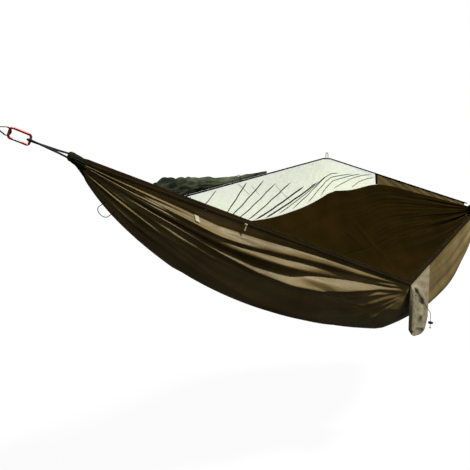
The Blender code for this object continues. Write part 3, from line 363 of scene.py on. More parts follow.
# A profile of (side, up) pairs carried along a path. The side vector goes from point to point and is kept
# square to the path; on a closed path the twist that is left over is spread along it
def ringsAlong(path, profile, closed=False):
    path = np.asarray(path, float)
    if closed:
        ahead = unit(np.roll(path, -1, axis=0) - np.roll(path, 1, axis=0))
    else:
        ahead = unit(np.gradient(path, axis=0))
    side = np.empty_like(path)
    start = np.cross(ahead[0], [0.03, 0.11, 1.0])
    for i in range(len(path)):
        start = start - ahead[i] * (start @ ahead[i])
        start = start / np.linalg.norm(start)
        side[i] = start
    if closed:
        gap = side[-1] - ahead[0] * (side[-1] @ ahead[0])
        up = np.cross(ahead[0], side[0])
        left = math.atan2(gap @ up, gap @ side[0])
        turn = -left * np.arange(len(path)) / len(path)
        side = side * np.cos(turn)[:, None] + np.cross(ahead, side) * np.sin(turn)[:, None]
    up = np.cross(ahead, side)
    profile = np.asarray(profile, float)
    if profile.ndim == 2:
        profile = np.broadcast_to(profile, (len(path),) + profile.shape)
    return path[:, None] + side[:, None] * profile[..., :1] + up[:, None] * profile[..., 1:]


def sweptPiece(name, path, profile, material, closed=False):
    rings = ringsAlong(path, profile, closed)
    uv = pairGrid(runLengths(path)[:, None], runLengths(rings[0])[None, :])
    return tubePiece(name, rings, material, uv, closed)


def circleProfile(radius, sides):
    turn = np.arange(sides) * (2 * math.pi / sides)
    return np.stack([radius * np.cos(turn), radius * np.sin(turn)], axis=1)


# Catmull-Rom curve through the points, resampled to equal steps
def smoothPath(points, count, closed=False):
    given = np.asarray(points, float)
    if closed:
        p = np.concatenate([given[-1:], given, given[:2]])
    else:
        p = np.concatenate([2 * given[:1] - given[1:2], given, 2 * given[-1:] - given[-2:-1]])
    t = np.linspace(0, 1, 24, endpoint=False)[:, None, None]
    a, b, c, d = p[None, :-3], p[None, 1:-2], p[None, 2:-1], p[None, 3:]
    curve = 0.5 * (
        2 * b + (c - a) * t + (2 * a - 5 * b + 4 * c - d) * t**2 + (3 * b - 3 * c + d - a) * t**3)
    curve = curve.transpose(1, 0, 2).reshape(-1, 3)
    curve = np.concatenate([curve, curve[:1] if closed else given[-1:]])
    run = runLengths(curve)
    wanted = np.linspace(0, run[-1], count, endpoint=not closed)
    return np.stack([np.interp(wanted, run, curve[:, k]) for k in range(3)], axis=1)


# Cubic through the points, with slopes from their neighbours
def smoothInterp(x, xs, ys):
    xs, ys = np.asarray(xs, float), np.asarray(ys, float)
    slopes = np.gradient(ys, xs)
    i = np.clip(np.searchsorted(xs, x) - 1, 0, len(xs) - 2)
    h = xs[i + 1] - xs[i]
    t = np.clip((x - xs[i]) / h, 0, 1)
    a, b, ma, mb = ys[i], ys[i + 1], slopes[i] * h, slopes[i + 1] * h
    return a + t * ma + t**2 * (3 * (b - a) - 2 * ma - mb) + t**3 * (2 * (a - b) + ma + mb)


# The near hem: two straight legs that meet at its low point. runOn is how far its pieces go on into the
# gathers, as a share of a leg; legLength is a leg's rounded length, for the run of the weave
hem = {
    "halfOut": 0.0019, "halfDown": 0.0079, "edge": 0.0016, "rings": 260, "runOn": 0.028, "legLength": 1.40,
    "stitchInset": 0.0024, "stitchPitch": 0.0045, "stitchLength": 0.0030, "threadRadius": 0.00035,
}


def hemFrame(start, end):
    along = unit(end - start)
    down = unit(worldDown - along * -along[2])
    return along, np.cross(down, along), down


nearStart = headEnd + [0, -layout["gatherHalf"], 0]
nearFinish = footEnd + [0, -layout["gatherHalf"], 0]
headFrame, footFrame = hemFrame(nearStart, nearLow), hemFrame(nearLow, nearFinish)


# Head end, bend and foot end of lines beside the hem: out from it and down the cloth, mitred at the bend
def hemCorners(outBy, downBy):
    outBy, downBy = np.broadcast_arrays(
        np.asarray(outBy, float)[..., None], np.asarray(downBy, float)[..., None])
    mitre = unit(headFrame[0] + footFrame[0])
    bends = []
    for along, out, down in (headFrame, footFrame):
        spot = nearLow + out * outBy + down * downBy
        bends.append(spot + along * (((nearLow - spot) @ mitre) / (along @ mitre))[..., None])
    head = nearStart + headFrame[0] * layout["hemInset"] + headFrame[1] * outBy + headFrame[2] * downBy
    foot = nearFinish - footFrame[0] * layout["hemInset"] + footFrame[1] * outBy + footFrame[2] * downBy
    return head, 0.5 * (bends[0] + bends[1]), foot


# Points beside the hem; run goes from 0 at the head end through 1 at the low point to 2 at the foot end,
# and before 0 and past 2 the points draw in towards the middle of the gather
def hemPoints(outBy, downBy, run):
    head, low, foot = hemCorners(outBy, downBy)
    run = np.asarray(run, float)[..., None]
    spots = head + (low - head) * np.minimum(run, 1) + (foot - low) * np.maximum(run - 1, 0)
    beyond = np.maximum(np.maximum(-run, run - 2), 0) / hem["runOn"]
    middle = np.where(run < 1, headEnd + [0.0, -0.004, 0.004], footEnd + [0.0, -0.004, 0.004])
    inwards = (middle - spots) * [0, 1, 1] * 0.75
    return spots + inwards * np.clip(beyond, 0, 1) ** 1.6


def hemEdge(x):
    corners = np.stack(hemCorners(0.0, 0.5 * layout["hemHeight"] + layout["clothBelowHem"]))
    line = np.stack([
        2 * corners[0] - corners[1], corners[0], corners[1], corners[2], 2 * corners[2] - corners[1]])
    return np.stack([np.interp(x, line[:, 0], line[:, k]) for k in (1, 2)], axis=-1)


peakPoint = np.array(layout["peak"])
topPoints = np.array([
    headEnd + [0, layout["gatherHalf"], 0], layout["corner"],
    peakPoint - [0.5 * layout["peakFlat"], 0, 0], peakPoint + [0.5 * layout["peakFlat"], 0, 0],
    footEnd + [0, layout["gatherHalf"], 0],
])


def topLine(x):
    return np.stack([np.interp(x, topPoints[:, 0], topPoints[:, k]) for k in (1, 2)], axis=-1)


# The far edge of the cloth, by share of the bed's length: below the top hem and inwards, in gusset heights
farShares = {
    "x": (0.0, 0.10, 0.15, 0.23, 0.37, 0.48, 0.57, 0.66, 0.75, 0.85, 1.0),
    "below": (0.24, 0.34, 0.55, 1.75, 3.40, 3.98, 3.72, 2.72, 1.0, 0.60, 0.24),
    "inwards": (0.0, 0.0, 0.10, 0.30, 0.20, -0.10, 0.40, 0.75, 0.06, 0.03, 0.0),
}


def farEdge(x):
    share = (x - headX) / span
    below, inwards = [
        smoothInterp(share, farShares["x"], farShares[way]) * layout["gussetHeight"]
        for way in ("below", "inwards")]
    line = topLine(x)
    return np.stack([line[..., 0] - inwards, line[..., 1] - below], axis=-1)


# The bed's lowest line: straight between the gathers, less a sag that grows as (1 - along squared) ** 0.75
def keelHeight(x):
    along = np.clip((x - headX - 0.5 * span) / (0.5 * span), -1, 1)
    straight = headEnd[2] - (x - headX) * (headEnd[2] - footEnd[2]) / span
    return straight - layout["keelSag"] * (1 - along**2) ** 0.75


# The bed without its folds: at each x a line between the two edges, sagging by (4 v (1 - v)) ** 0.9, bellied
# by a sine and leant to the near side, then read off at the given shares of its girth
def clothGrid(x, shares):
    v = np.linspace(0, 1, 321)
    near, far = hemEdge(x)[:, None], farEdge(x)[:, None]
    sag = (0.5 * (near[..., 1] + far[..., 1]) - keelHeight(x)[:, None])
    drop = sag * (4 * v * (1 - v)) ** 0.9
    y = (near[..., 0] + (far[..., 0] - near[..., 0]) * v
         - layout["belly"] * sag * np.sin(2 * math.pi * v) - layout["lean"] * drop)
    z = near[..., 1] + (far[..., 1] - near[..., 1]) * v - drop
    run = np.concatenate([np.zeros((len(x), 1)), np.cumsum(np.hypot(np.diff(y), np.diff(z)), axis=1)], axis=1)
    girth = run[:, -1]
    made = np.empty((len(x), len(shares), 3))
    made[..., 0] = x[:, None]
    for i in range(len(x)):
        made[i, :, 1] = np.interp(shares * girth[i], run[i], y[i])
        made[i, :, 2] = np.interp(shares * girth[i], run[i], z[i])
    return made


# Folds, by share of the bed's length and of its girth. These are the CAD's own broad folds
broadFolds = (
    ((0.03, 0.10), (0.10, 0.12), (0.22, 0.13), (0.36, 0.12), (0.44, 0.08), (0.49, 0.035)),
    ((0.05, 0.19), (0.12, 0.24), (0.22, 0.25), (0.34, 0.21), (0.43, 0.13), (0.49, 0.06)),
    ((0.07, 0.28), (0.14, 0.34), (0.24, 0.35), (0.36, 0.29), (0.45, 0.18), (0.50, 0.09)),
    ((0.52, 0.06), (0.58, 0.14), (0.66, 0.20), (0.76, 0.20), (0.88, 0.15), (0.97, 0.11)),
)
# Shelf folds, each point (share of length, upper crease, lower crest, height in metres)
shelfFolds = (
    ((0.03, 0.06, 0.11, 0.004), (0.057, 0.041, 0.085, 0.008), (0.115, 0.047, 0.098, 0.012),
     (0.177, 0.062, 0.112, 0.014), (0.228, 0.044, 0.095, 0.016), (0.282, 0.027, 0.066, 0.015),
     (0.340, 0.016, 0.046, 0.012), (0.401, 0.012, 0.034, 0.009), (0.455, 0.008, 0.020, 0.005),
     (0.492, 0.006, 0.012, 0.002)),
    ((0.04, 0.120, 0.150, 0.003), (0.092, 0.122, 0.151, 0.009), (0.150, 0.124, 0.150, 0.010),
     (0.208, 0.116, 0.145, 0.011), (0.262, 0.083, 0.123, 0.011), (0.302, 0.068, 0.108, 0.011),
     (0.361, 0.052, 0.080, 0.010), (0.423, 0.035, 0.050, 0.007), (0.485, 0.015, 0.022, 0.003)),
    ((0.05, 0.160, 0.185, 0.003), (0.109, 0.158, 0.182, 0.008), (0.179, 0.168, 0.196, 0.014),
     (0.231, 0.162, 0.200, 0.020), (0.286, 0.134, 0.184, 0.025), (0.342, 0.096, 0.152, 0.024),
     (0.400, 0.060, 0.094, 0.015), (0.445, 0.044, 0.058, 0.008), (0.490, 0.026, 0.034, 0.003)),
    ((0.06, 0.205, 0.225, 0.002), (0.121, 0.215, 0.236, 0.005), (0.171, 0.218, 0.240, 0.005),
     (0.240, 0.214, 0.235, 0.003)),
    ((0.06, 0.250, 0.270, 0.002), (0.117, 0.290, 0.310, 0.004), (0.170, 0.315, 0.335, 0.004),
     (0.250, 0.325, 0.345, 0.002)),
    ((0.330, 0.150, 0.160, 0.002), (0.354, 0.148, 0.162, 0.004), (0.395, 0.146, 0.160, 0.004),
     (0.430, 0.130, 0.142, 0.001)),
    ((0.30, 0.230, 0.245, 0.0), (0.40, 0.115, 0.132, 0.0035), (0.44, 0.070, 0.083, 0.0035),
     (0.49, 0.034, 0.042, 0.001)),
    ((0.31, 0.275, 0.290, 0.0), (0.41, 0.150, 0.167, 0.0035), (0.45, 0.088, 0.102, 0.0035),
     (0.49, 0.044, 0.052, 0.001)),
    ((0.33, 0.310, 0.325, 0.0), (0.42, 0.185, 0.202, 0.0035), (0.455, 0.110, 0.126, 0.003),
     (0.49, 0.056, 0.064, 0.001)),
    ((0.35, 0.345, 0.360, 0.0), (0.43, 0.225, 0.242, 0.0035), (0.46, 0.135, 0.151, 0.003),
     (0.49, 0.068, 0.077, 0.001)),
    ((0.515, 0.010, 0.026, 0.002), (0.60, 0.022, 0.056, 0.005), (0.72, 0.030, 0.072, 0.006),
     (0.85, 0.040, 0.082, 0.005), (0.95, 0.06, 0.09, 0.003)),
    ((0.52, 0.030, 0.050, 0.002), (0.60, 0.066, 0.106, 0.0045), (0.72, 0.085, 0.135, 0.0055),
     (0.85, 0.10, 0.145, 0.0045), (0.95, 0.11, 0.15, 0.003)),
    ((0.53, 0.055, 0.080, 0.002), (0.62, 0.125, 0.168, 0.004), (0.74, 0.155, 0.205, 0.005),
     (0.86, 0.16, 0.205, 0.004), (0.95, 0.17, 0.20, 0.002)),
)
# Tension ridges in the far wall: (share of length, share of girth) points, width in shares, metres of height
tensionRidges = (
    (((0.664, 0.833), (0.688, 0.732), (0.708, 0.647), (0.722, 0.556)), 0.0035, -0.0035),
    (((0.634, 0.806), (0.653, 0.756), (0.669, 0.703)), 0.0035, -0.0025),
)
# Heights in metres of the rest; broadWidth is a share of the girth and shelf a factor on the heights above
relief = {
    "broad": 0.014, "broadWidth": 0.045, "swell": 0.004, "pleatCounts": (13, 17, 23, 29, 37, 47),
    "pleat": 0.085, "waves": 9, "wave": 0.0007, "shelf": 1.55, "fanRidges": 13, "fan": 0.0016, "seam": 0.0009,
}


# How far the cloth stands out of its plain form: the sum of broad folds, shelf folds that rise to a crest
# and drop away below it, pleats out of both gathers, ridges across the far wall and slight waves
def clothRelief(x, across):
    share = (x - headX) / span
    total = np.zeros(np.broadcast(x, across).shape)
    for row in broadFolds:
        row = np.array(row)
        centre = np.interp(share, row[:, 0], row[:, 1])
        inside = np.clip((share - row[0, 0]) / 0.06, 0, 1) * np.clip((row[-1, 0] - share) / 0.06, 0, 1)
        width = relief["broadWidth"] * (0.35 + 0.65 * np.clip(4 * centre, 0, 1))
        total = total + relief["broad"] * inside * bell(across, centre, width)
    nearEnd = np.minimum(share, 1 - share)
    swell = np.clip(nearEnd / 0.05, 0, 1) * np.exp(-nearEnd / 0.09)
    total = total + relief["swell"] * swell * np.sin(across * 2 * math.pi * 9)
    draw = np.random.default_rng(7)
    for count in relief["pleatCounts"]:  # pleats out of the gathers, finer ones die away sooner
        phase, reach = draw.uniform(0, 2 * math.pi, 2), 1.9 / count
        drift = draw.uniform(-6, 6, 2)
        for end, away in ((0, share), (1, 1 - share)):
            amount = relief["pleat"] / count * np.clip(away / 0.012, 0, 1) * np.exp(-away / reach)
            amount = amount * (1 - 0.45 * ramp(across, 0.35, 0.55))
            total = total + amount * np.sin(2 * math.pi * count * across + phase[end] + drift[end] * away)
    for i in range(relief["waves"]):  # long shallow waves of cloth pulled from end to end
        count, phase, bend = draw.uniform(5, 22), draw.uniform(0, 6.3), draw.uniform(-2.5, 2.5)
        wave = np.sin(2 * math.pi * (count * across + bend * (share - 0.5) ** 2 * 4) + phase)
        total = total + relief["wave"] * (1 - 0.75 * ramp(across, 0.30, 0.50)) * wave
    edge = np.clip(np.minimum(across, 1 - across) / 0.04, 0, 1)
    total = total * edge**2
    for row in shelfFolds:
        row = np.array(row)
        upper, lower, height = [np.interp(share, row[:, 0], row[:, k]) for k in (1, 2, 3)]
        inside = ramp(share, row[0, 0] - 0.02, row[0, 0] + 0.04) * (
            1 - ramp(share, row[-1, 0] - 0.02, row[-1, 0] + 0.01))
        rise = np.clip((across - upper) / (lower - upper), 0, 1)
        drop = np.maximum((0.20 + 0.5 * (row[0, 0] > 0.5)) * (lower - upper), 0.0045)
        fall = np.where(across > lower, bell(across, lower, drop), 1.0)
        depth = 0.45 * np.clip(row[:, 3].max() / 0.012, 0.2, 1)
        valley = depth * bell(across, upper, 0.30 * (lower - upper)) * ramp(across, 0.0, 0.02)
        total = total + relief["shelf"] * height * inside * (rise * fall - valley)
    for points, width, height in tensionRidges:
        points = np.array(points)
        centre = np.interp(across, points[::-1, 1], points[::-1, 0])
        window = ramp(across, points[-1, 1] - 0.03, points[-1, 1] + 0.02) * (
            1 - ramp(across, points[0, 1] - 0.02, points[0, 1] + 0.03))
        total = total + height * window * bell(share, centre, width)
    for i in range(relief["fanRidges"]):  # the far wall's fine ridges fan out of the foot gather
        footAcross, midAcross = 0.73 + 0.02 * i, 0.58 + 0.030 * i + 0.008 * math.sin(5 * i)
        centre = footAcross + (midAcross - footAcross) * ramp(1 - share, 0.03, 0.42)
        window = ramp(share, 0.58 + 0.03 * (i % 3), 0.74) * (1 - ramp(share, 0.88, 0.96))
        total = total - relief["fan"] * window * bell(across, centre, 0.0045)
    for seam in layout["seams"]:  # flat-felled seam: four layers stand a little proud
        total = total + relief["seam"] * ramp(0.006 - np.abs(across - seam), 0.0, 0.002)
    return total


# fineTo is the share of the girth, from the near hem down, with the closest rows
cloth = {
    "thickness": 0.0009, "startInset": 0.008, "pinch": 0.36, "stations": 400, "fineTo": 0.22,
    "nearFine": 84, "nearRest": 26, "centre": 56, "far": 84,
}


def bedGrid(x, shares):
    flat = clothGrid(x, shares)
    normal = -unit(np.cross(np.gradient(flat, axis=0), np.gradient(flat, axis=1)))
    folded = flat + normal * clothRelief(x[:, None], shares[None, :])[..., None]
    inGather = 1 - np.clip(np.minimum(x - headX, footEnd[0] - x) / layout["clothInset"], 0, 1)
    folded[..., 1] *= 1 - cloth["pinch"] * inGather[:, None] ** 2
    return folded


# stations lie closer at the hem's low point and at both gathers, where folds run together
spread = np.linspace(headX + cloth["startInset"], footEnd[0] - cloth["startInset"], 4000)
nearGather = np.minimum(spread - headX, footEnd[0] - spread)
closeness = np.cumsum(1 + 1.6 * bell(spread, nearLow[0] - 0.06, 0.16) + 0.9 * np.exp(-nearGather / 0.12))
clothX = np.interp(np.linspace(closeness[0], closeness[-1], cloth["stations"]), closeness, spread)
clothX[np.abs(clothX - nearLow[0]).argmin()] = hemCorners(0.0, 0.009)[1][0]
acrossNear = np.concatenate([
    np.linspace(0, cloth["fineTo"], cloth["nearFine"], endpoint=False),
    np.linspace(cloth["fineTo"], layout["seams"][0], cloth["nearRest"])])
acrossAll = np.concatenate([
    acrossNear, np.linspace(*layout["seams"], cloth["centre"])[1:],
    np.linspace(layout["seams"][1], 1.0, cloth["far"])[1:]])
bedSurface = bedGrid(clothX, acrossAll)
firstSeam, secondSeam = len(acrossNear) - 1, len(acrossNear) + cloth["centre"] - 2
panelSpans = {
    "near_side_panel": (0, firstSeam + 1), "centre_panel": (firstSeam, secondSeam + 1),
    "far_side_panel": (secondSeam, None),
}
for node, (low, high) in panelSpans.items():
    piece = clothPiece(
        node + "_cloth", bedSurface[:, low:high], cloth["thickness"], nylonOuter, nylonInnerPaintedShade, flipped=True)
    place(piece, "bed", node)
print("scene: bed cloth made")


# An outline of (out, down) pairs carried along the hem and puckered by the mean of three sine waves
def hemSweep(name, outline, material, wobble, wobbleScale, seed):
    run = np.concatenate([
        np.linspace(-hem["runOn"], 1, hem["rings"]),
        np.linspace(1, 2 + hem["runOn"], int(hem["rings"] * 1.02))[1:]])
    outline = np.asarray(outline, float)
    rings = hemPoints(outline[None, :, 0], outline[None, :, 1], run[:, None])
    draw = np.random.default_rng(seed)
    pucker = sum(np.sin(run * wobbleScale * k + draw.uniform(0, 6.3)) for k in (1.0, 1.7, 2.9)) / 3
    fade = ramp(np.abs(run - 1), 0.0, 0.02)
    rings = rings + headFrame[1] * (wobble * pucker * fade)[:, None, None]
    uv = pairGrid((run * hem["legLength"])[:, None], runLengths(outline)[None, :])
    return tubePiece(name, rings, material, uv)


def roundedBox(halfOut, halfDown, radius, steps=4):
    turns = np.linspace(0, 0.5 * math.pi, steps)
    corners = []
    for signOut, signDown, start in ((1, 1, 0.0), (-1, 1, 0.5), (-1, -1, 1.0), (1, -1, 1.5)):
        a = turns + start * math.pi
        corners.append(np.stack([
            signOut * (halfOut - radius) + radius * np.cos(a),
            signDown * (halfDown - radius) + radius * np.sin(a)], axis=1))
    return np.concatenate(corners)


hemOutline = roundedBox(hem["halfOut"], hem["halfDown"], hem["edge"])
hemBand = hemSweep("near_hem_binding", hemOutline, nylonHem, 0.0004, 90.0, 3)
place(hemBand, "bed", "near_hem_band")

# The tape's outline, (out, down) in metres: behind the band, under its lower edge and up to the coil
tapeOutline = (
    (0.0025, -0.0038), (0.0033, -0.0038), (0.0033, 0.0), (0.0033, 0.0028), (0.0052, 0.0052),
    (0.0075, 0.0078), (0.0076, 0.0130), (0.0070, 0.0130), (0.0068, 0.0080), (0.0046, 0.0058),
    (0.0025, 0.0034), (0.0025, 0.0))
zipTape = hemSweep("near_zip_fabric", tapeOutline, tapeWeb, 0.0002, 140.0, 5)
place(zipTape, "bed", "near_zip_tape")

# cadRadius is the radius of the CAD's plain bead
zipCoil = {
    "out": 0.0072, "down": 0.0140, "radius": 0.0017, "swell": 0.00028, "turn": 0.0026, "sides": 8,
    "perTurn": 4, "cadRadius": 0.002,
}


# The coil: a round bead whose radius swells as a cosine, once every turn
def coilPiece():
    corners = hemCorners(zipCoil["out"], zipCoil["down"])
    legs = [np.linalg.norm(corners[1] - corners[0]), np.linalg.norm(corners[2] - corners[1])]
    counts = [int(leg / zipCoil["turn"] * zipCoil["perTurn"]) for leg in legs]
    run = np.concatenate([np.linspace(0, 1, counts[0]), np.linspace(1, 2, counts[1])[1:]])
    turns = np.arange(len(run)) * (2 * math.pi / zipCoil["perTurn"])
    radius = zipCoil["radius"] + zipCoil["swell"] * np.cos(turns)
    angle = np.arange(zipCoil["sides"]) * (2 * math.pi / zipCoil["sides"])
    outBy = zipCoil["out"] + radius[:, None] * np.sin(angle)
    downBy = zipCoil["down"] - radius[:, None] * np.cos(angle)
    uv = pairGrid(run[:, None] * hem["legLength"], angle[None, :] * zipCoil["radius"])
    return tubePiece("near_zip_coil", hemPoints(outBy, downBy, run[:, None]), tapeWeb, uv)


place(coilPiece(), "bed")


# Stitches as small six-sided drops: each is a short spindle along its own direction, half sunk in the cloth
def stitchRow(name, places, along, out, length, radius, material):
    ringShares = np.array([-0.5, -0.28, 0.28, 0.5])
    ringSizes = np.array([0.15, 1.0, 1.0, 0.15])
    angle = np.arange(6) * (math.pi / 3)
    side = np.cross(along, out)
    around = (side[:, None, None] * np.cos(angle)[None, None, :, None]
              + out[:, None, None] * np.sin(angle)[None, None, :, None])
    spots = (
        places[:, None, None] + along[:, None, None] * (ringShares[None, :, None, None] * length)
        + around * (radius * ringSizes[None, :, None, None]))
    count = len(places)
    faces = (gridFaces(4, 6, True)[None] + (np.arange(count) * 24)[:, None, None]).reshape(-1, 4)
    caps = []
    for start in range(0, count * 24, 24):
        caps += [tuple(range(start + 5, start - 1, -1)), tuple(range(start + 18, start + 24))]
    return outward(meshPiece(name, spots, faces, material, extra=caps))


def hemStitches():
    places, alongs, outs = [], [], []
    for leg, (along, out, down) in enumerate((headFrame, footFrame)):
        length = np.linalg.norm(np.diff(np.stack(hemCorners(0.0, 0.0)), axis=0)[leg])
        run = np.arange(0.01, length - 0.01, hem["stitchPitch"]) / length + leg
        for downBy in (-hem["halfDown"] + hem["stitchInset"], hem["halfDown"] - hem["stitchInset"]):
            spots = hemPoints(-hem["halfOut"] if downBy > 0 else hem["halfOut"], downBy, run)
            places.append(spots)
            alongs.append(np.broadcast_to(along, spots.shape))
            outs.append(np.broadcast_to(out, spots.shape))
    return stitchRow(
        "near_hem_stitching", np.concatenate(places), np.concatenate(alongs), np.concatenate(outs),
        hem["stitchLength"], hem["threadRadius"], threadBeige)


place(hemStitches(), "bed")
print("scene: near hem and zip made")

# Far top hem: a rolled edge, its radius lumpy along and round it
topHem = {"radius": 0.0036, "lump": 0.0003, "inset": 0.046, "step": 0.006, "sides": 14}


def denseLine(points, step):
    made = []
    for a, b in zip(points[:-1], points[1:]):
        count = max(2, int(np.linalg.norm(b - a) / step))
        made.append(a + (b - a) * np.linspace(0, 1, count, endpoint=False)[:, None])
    return np.concatenate(made + [points[-1:]])


topDense = denseLine(np.concatenate([
    [topPoints[0] + unit(topPoints[1] - topPoints[0]) * topHem["inset"]], topPoints[1:4],
    [topPoints[4] + unit(topPoints[3] - topPoints[4]) * topHem["inset"]]]), topHem["step"])
topTurns = np.arange(topHem["sides"]) * (2 * math.pi / topHem["sides"])
topRun = np.arange(len(topDense))[:, None]
topRadius = topHem["radius"] + (
    topHem["lump"] * np.sin(0.9 * topRun + 2 * np.cos(topTurns)) * np.sin(0.13 * topRun + 1))
topProfile = np.stack([topRadius * np.cos(topTurns), topRadius * np.sin(topTurns)], axis=-1)
place(sweptPiece("far_top_hem_roll", topDense, topProfile, nylonHem), "bed", "far_top_hem")


# A web between the far cloth edge and the top hem, bowed out by a sine where it is tall
def webGrid(start, finish, countX, countUp, lowGap, highGap, bow):
    x = np.linspace(start, finish, countX)
    for kink in topPoints[1:-1, 0]:
        if start < kink < finish:
            x[np.abs(x - kink).argmin()] = kink
    low = np.concatenate([x[:, None], farEdge(x)], axis=1)
    high = np.concatenate([x[:, None], topLine(x)], axis=1)
    rise = high - low
    length = np.linalg.norm(rise, axis=1, keepdims=True)
    low, high = low + rise / length * lowGap, high - rise / length * highGap
    t = np.linspace(0, 1, countUp)
    middle = low[:, None] + (high - low)[:, None] * t[None, :, None]
    middle[..., 1] += bow * np.sin(math.pi * t) * np.clip(length / layout["gussetHeight"] - 1, 0, 1)
    return x, t, middle


# Where net, end seam and gusset begin and end along the bed, and their thicknesses, in metres
web = {
    "netStart": headX + 0.075, "netFinish": 2.4036, "gussetStart": 2.4164, "gussetFinish": footEnd[0] - 0.06,
    "seamGap": 0.0002, "net": 0.0004, "seam": 0.0026, "gusset": 0.0009,
}
netX, netUp, netGrid = webGrid(web["netStart"], web["netFinish"], 330, 36, -0.0010, 0.0030, 0.012)
netWave = (0.0016 * np.sin(38 * netX[:, None] + 9 * netUp)
           + 0.0010 * np.sin(91 * netX[:, None] - 14 * netUp))
netGrid[..., 1] += netWave * np.sin(math.pi * netUp)
netWall = clothPiece("net_wall_mesh", netGrid, web["net"], netClear, netClear)
place(netWall, "bed", "net_wall")

# Tension folds in the net, where it lies double: (x, share of its height) at both ends, and width in metres
netFolds = (
    ((1.235, 0.20), (1.391, 0.95), 0.0060), ((1.262, 0.13), (1.525, 0.89), 0.0060),
    ((1.318, 0.08), (1.624, 0.75), 0.0055), ((1.385, 0.03), (1.757, 0.67), 0.0060),
    ((1.445, 0.02), (1.873, 0.48), 0.0085), ((1.530, 0.02), (1.992, 0.44), 0.0085),
    ((1.650, 0.04), (2.080, 0.50), 0.0045), ((1.760, 0.05), (2.170, 0.62), 0.0045),
    ((1.880, 0.05), (2.250, 0.66), 0.0045), ((1.990, 0.05), (2.310, 0.72), 0.0045),
    ((2.100, 0.06), (2.385, 0.84), 0.0040), ((2.220, 0.08), (2.395, 0.62), 0.0040),
    ((1.325, 0.97), (1.419, 0.61), 0.0024), ((1.423, 0.84), (1.498, 0.56), 0.0024),
    ((1.620, 0.72), (1.750, 0.27), 0.0024), ((1.060, 0.30), (1.180, 0.95), 0.0040),
    ((0.960, 0.35), (1.020, 0.95), 0.0035),
)


# Flat ribbons on the net's near face, each straight between two places on it and pointed at both ends
def foldStrips():
    steps, sides = 30, 4
    allPoints, allFaces, allUv, base = [], [], [], 0
    for (x0, t0), (x1, t1), width in netFolds:
        s = np.linspace(0, 1, steps)
        x, t = x0 + (x1 - x0) * s, t0 + (t1 - t0) * s
        rows = np.interp(x, netX, np.arange(len(netX)))
        columns = t * (len(netUp) - 1)
        i = np.clip(rows.astype(int), 0, len(netX) - 2)
        j = np.clip(columns.astype(int), 0, len(netUp) - 2)
        a, b = (rows - i)[:, None], (columns - j)[:, None]
        line = (netGrid[i, j] * (1 - a) * (1 - b) + netGrid[i + 1, j] * a * (1 - b)
                + netGrid[i, j + 1] * (1 - a) * b + netGrid[i + 1, j + 1] * a * b)
        ahead = unit(np.gradient(line, axis=0))
        normal = unit(np.cross(ahead, [0.0, 0.25, 1.0]))
        normal = normal * np.sign(-normal[:, 1:2])
        side = np.cross(normal, ahead)
        half = 0.5 * width * np.clip(np.minimum(s, 1 - s) / 0.08, 0.12, 1)[:, None]
        lift = normal * 0.0008
        ring = np.stack([
            line + side * half + lift, line + lift * 1.9, line - side * half + lift,
            line + lift * 0.6], axis=1)
        length = np.linalg.norm(line[-1] - line[0])
        allPoints.append(ring.reshape(-1, 3))
        allUv.append(pairGrid((s * length)[:, None], np.array([0, 0.5, 1, 1.5]) * width).reshape(-1, 2))
        allFaces += (gridFaces(steps, sides, True) + base).tolist()
        last = base + (steps - 1) * sides
        allFaces += [list(range(base + 3, base - 1, -1)), list(range(last, last + 4))]
        base += steps * sides
    return outward(meshPiece(
        "net_tension_folds", np.concatenate(allPoints), allFaces, netFolded, np.concatenate(allUv)))


netPleats = place(foldStrips(), "bed")

seamGrid = webGrid(
    web["netFinish"] + web["seamGap"], web["gussetStart"] - web["seamGap"], 6, 24, 0.0012, 0.0030, 0.0)[2]
place(
    clothPiece("net_end_binding", seamGrid, web["seam"], nylonHem, nylonHem), "bed",
    "net_end_seam")

gussetX, gussetUp, gussetGrid = webGrid(
    web["gussetStart"], web["gussetFinish"], 120, 16, -0.0030, 0.0010, 0.0)
gussetGrid[..., 1] += 0.0012 * np.sin(70 * gussetX[:, None] + 5 * gussetUp) * np.sin(math.pi * gussetUp)
gusset = clothPiece("foot_gusset_cloth", gussetGrid, web["gusset"], nylonOuter, nylonInnerPaintedShade)
place(gusset, "bed", "foot_gusset")
print("scene: net side made")

# The rolled half of the net: start and tie are measured from the head gather, rest up from the top hem
bundle = {
    "start": 0.29, "length": 0.85, "radius": 0.044, "shares": (0.0, 0.10, 0.30, 0.48, 0.68, 1.0),
    "radii": (0.42, 0.92, 1.0, 0.70, 0.37, 0.14), "flat": 0.55, "rest": 0.0044, "pinch": 0.18, "tie": 0.93,
    "rings": 260, "sides": 72, "creases": 14, "crease": 0.030,
}
tieShare = (bundle["tie"] - bundle["start"]) / bundle["length"]


def bundleRadius(share):
    return bundle["radius"] * smoothInterp(share, bundle["shares"], bundle["radii"])


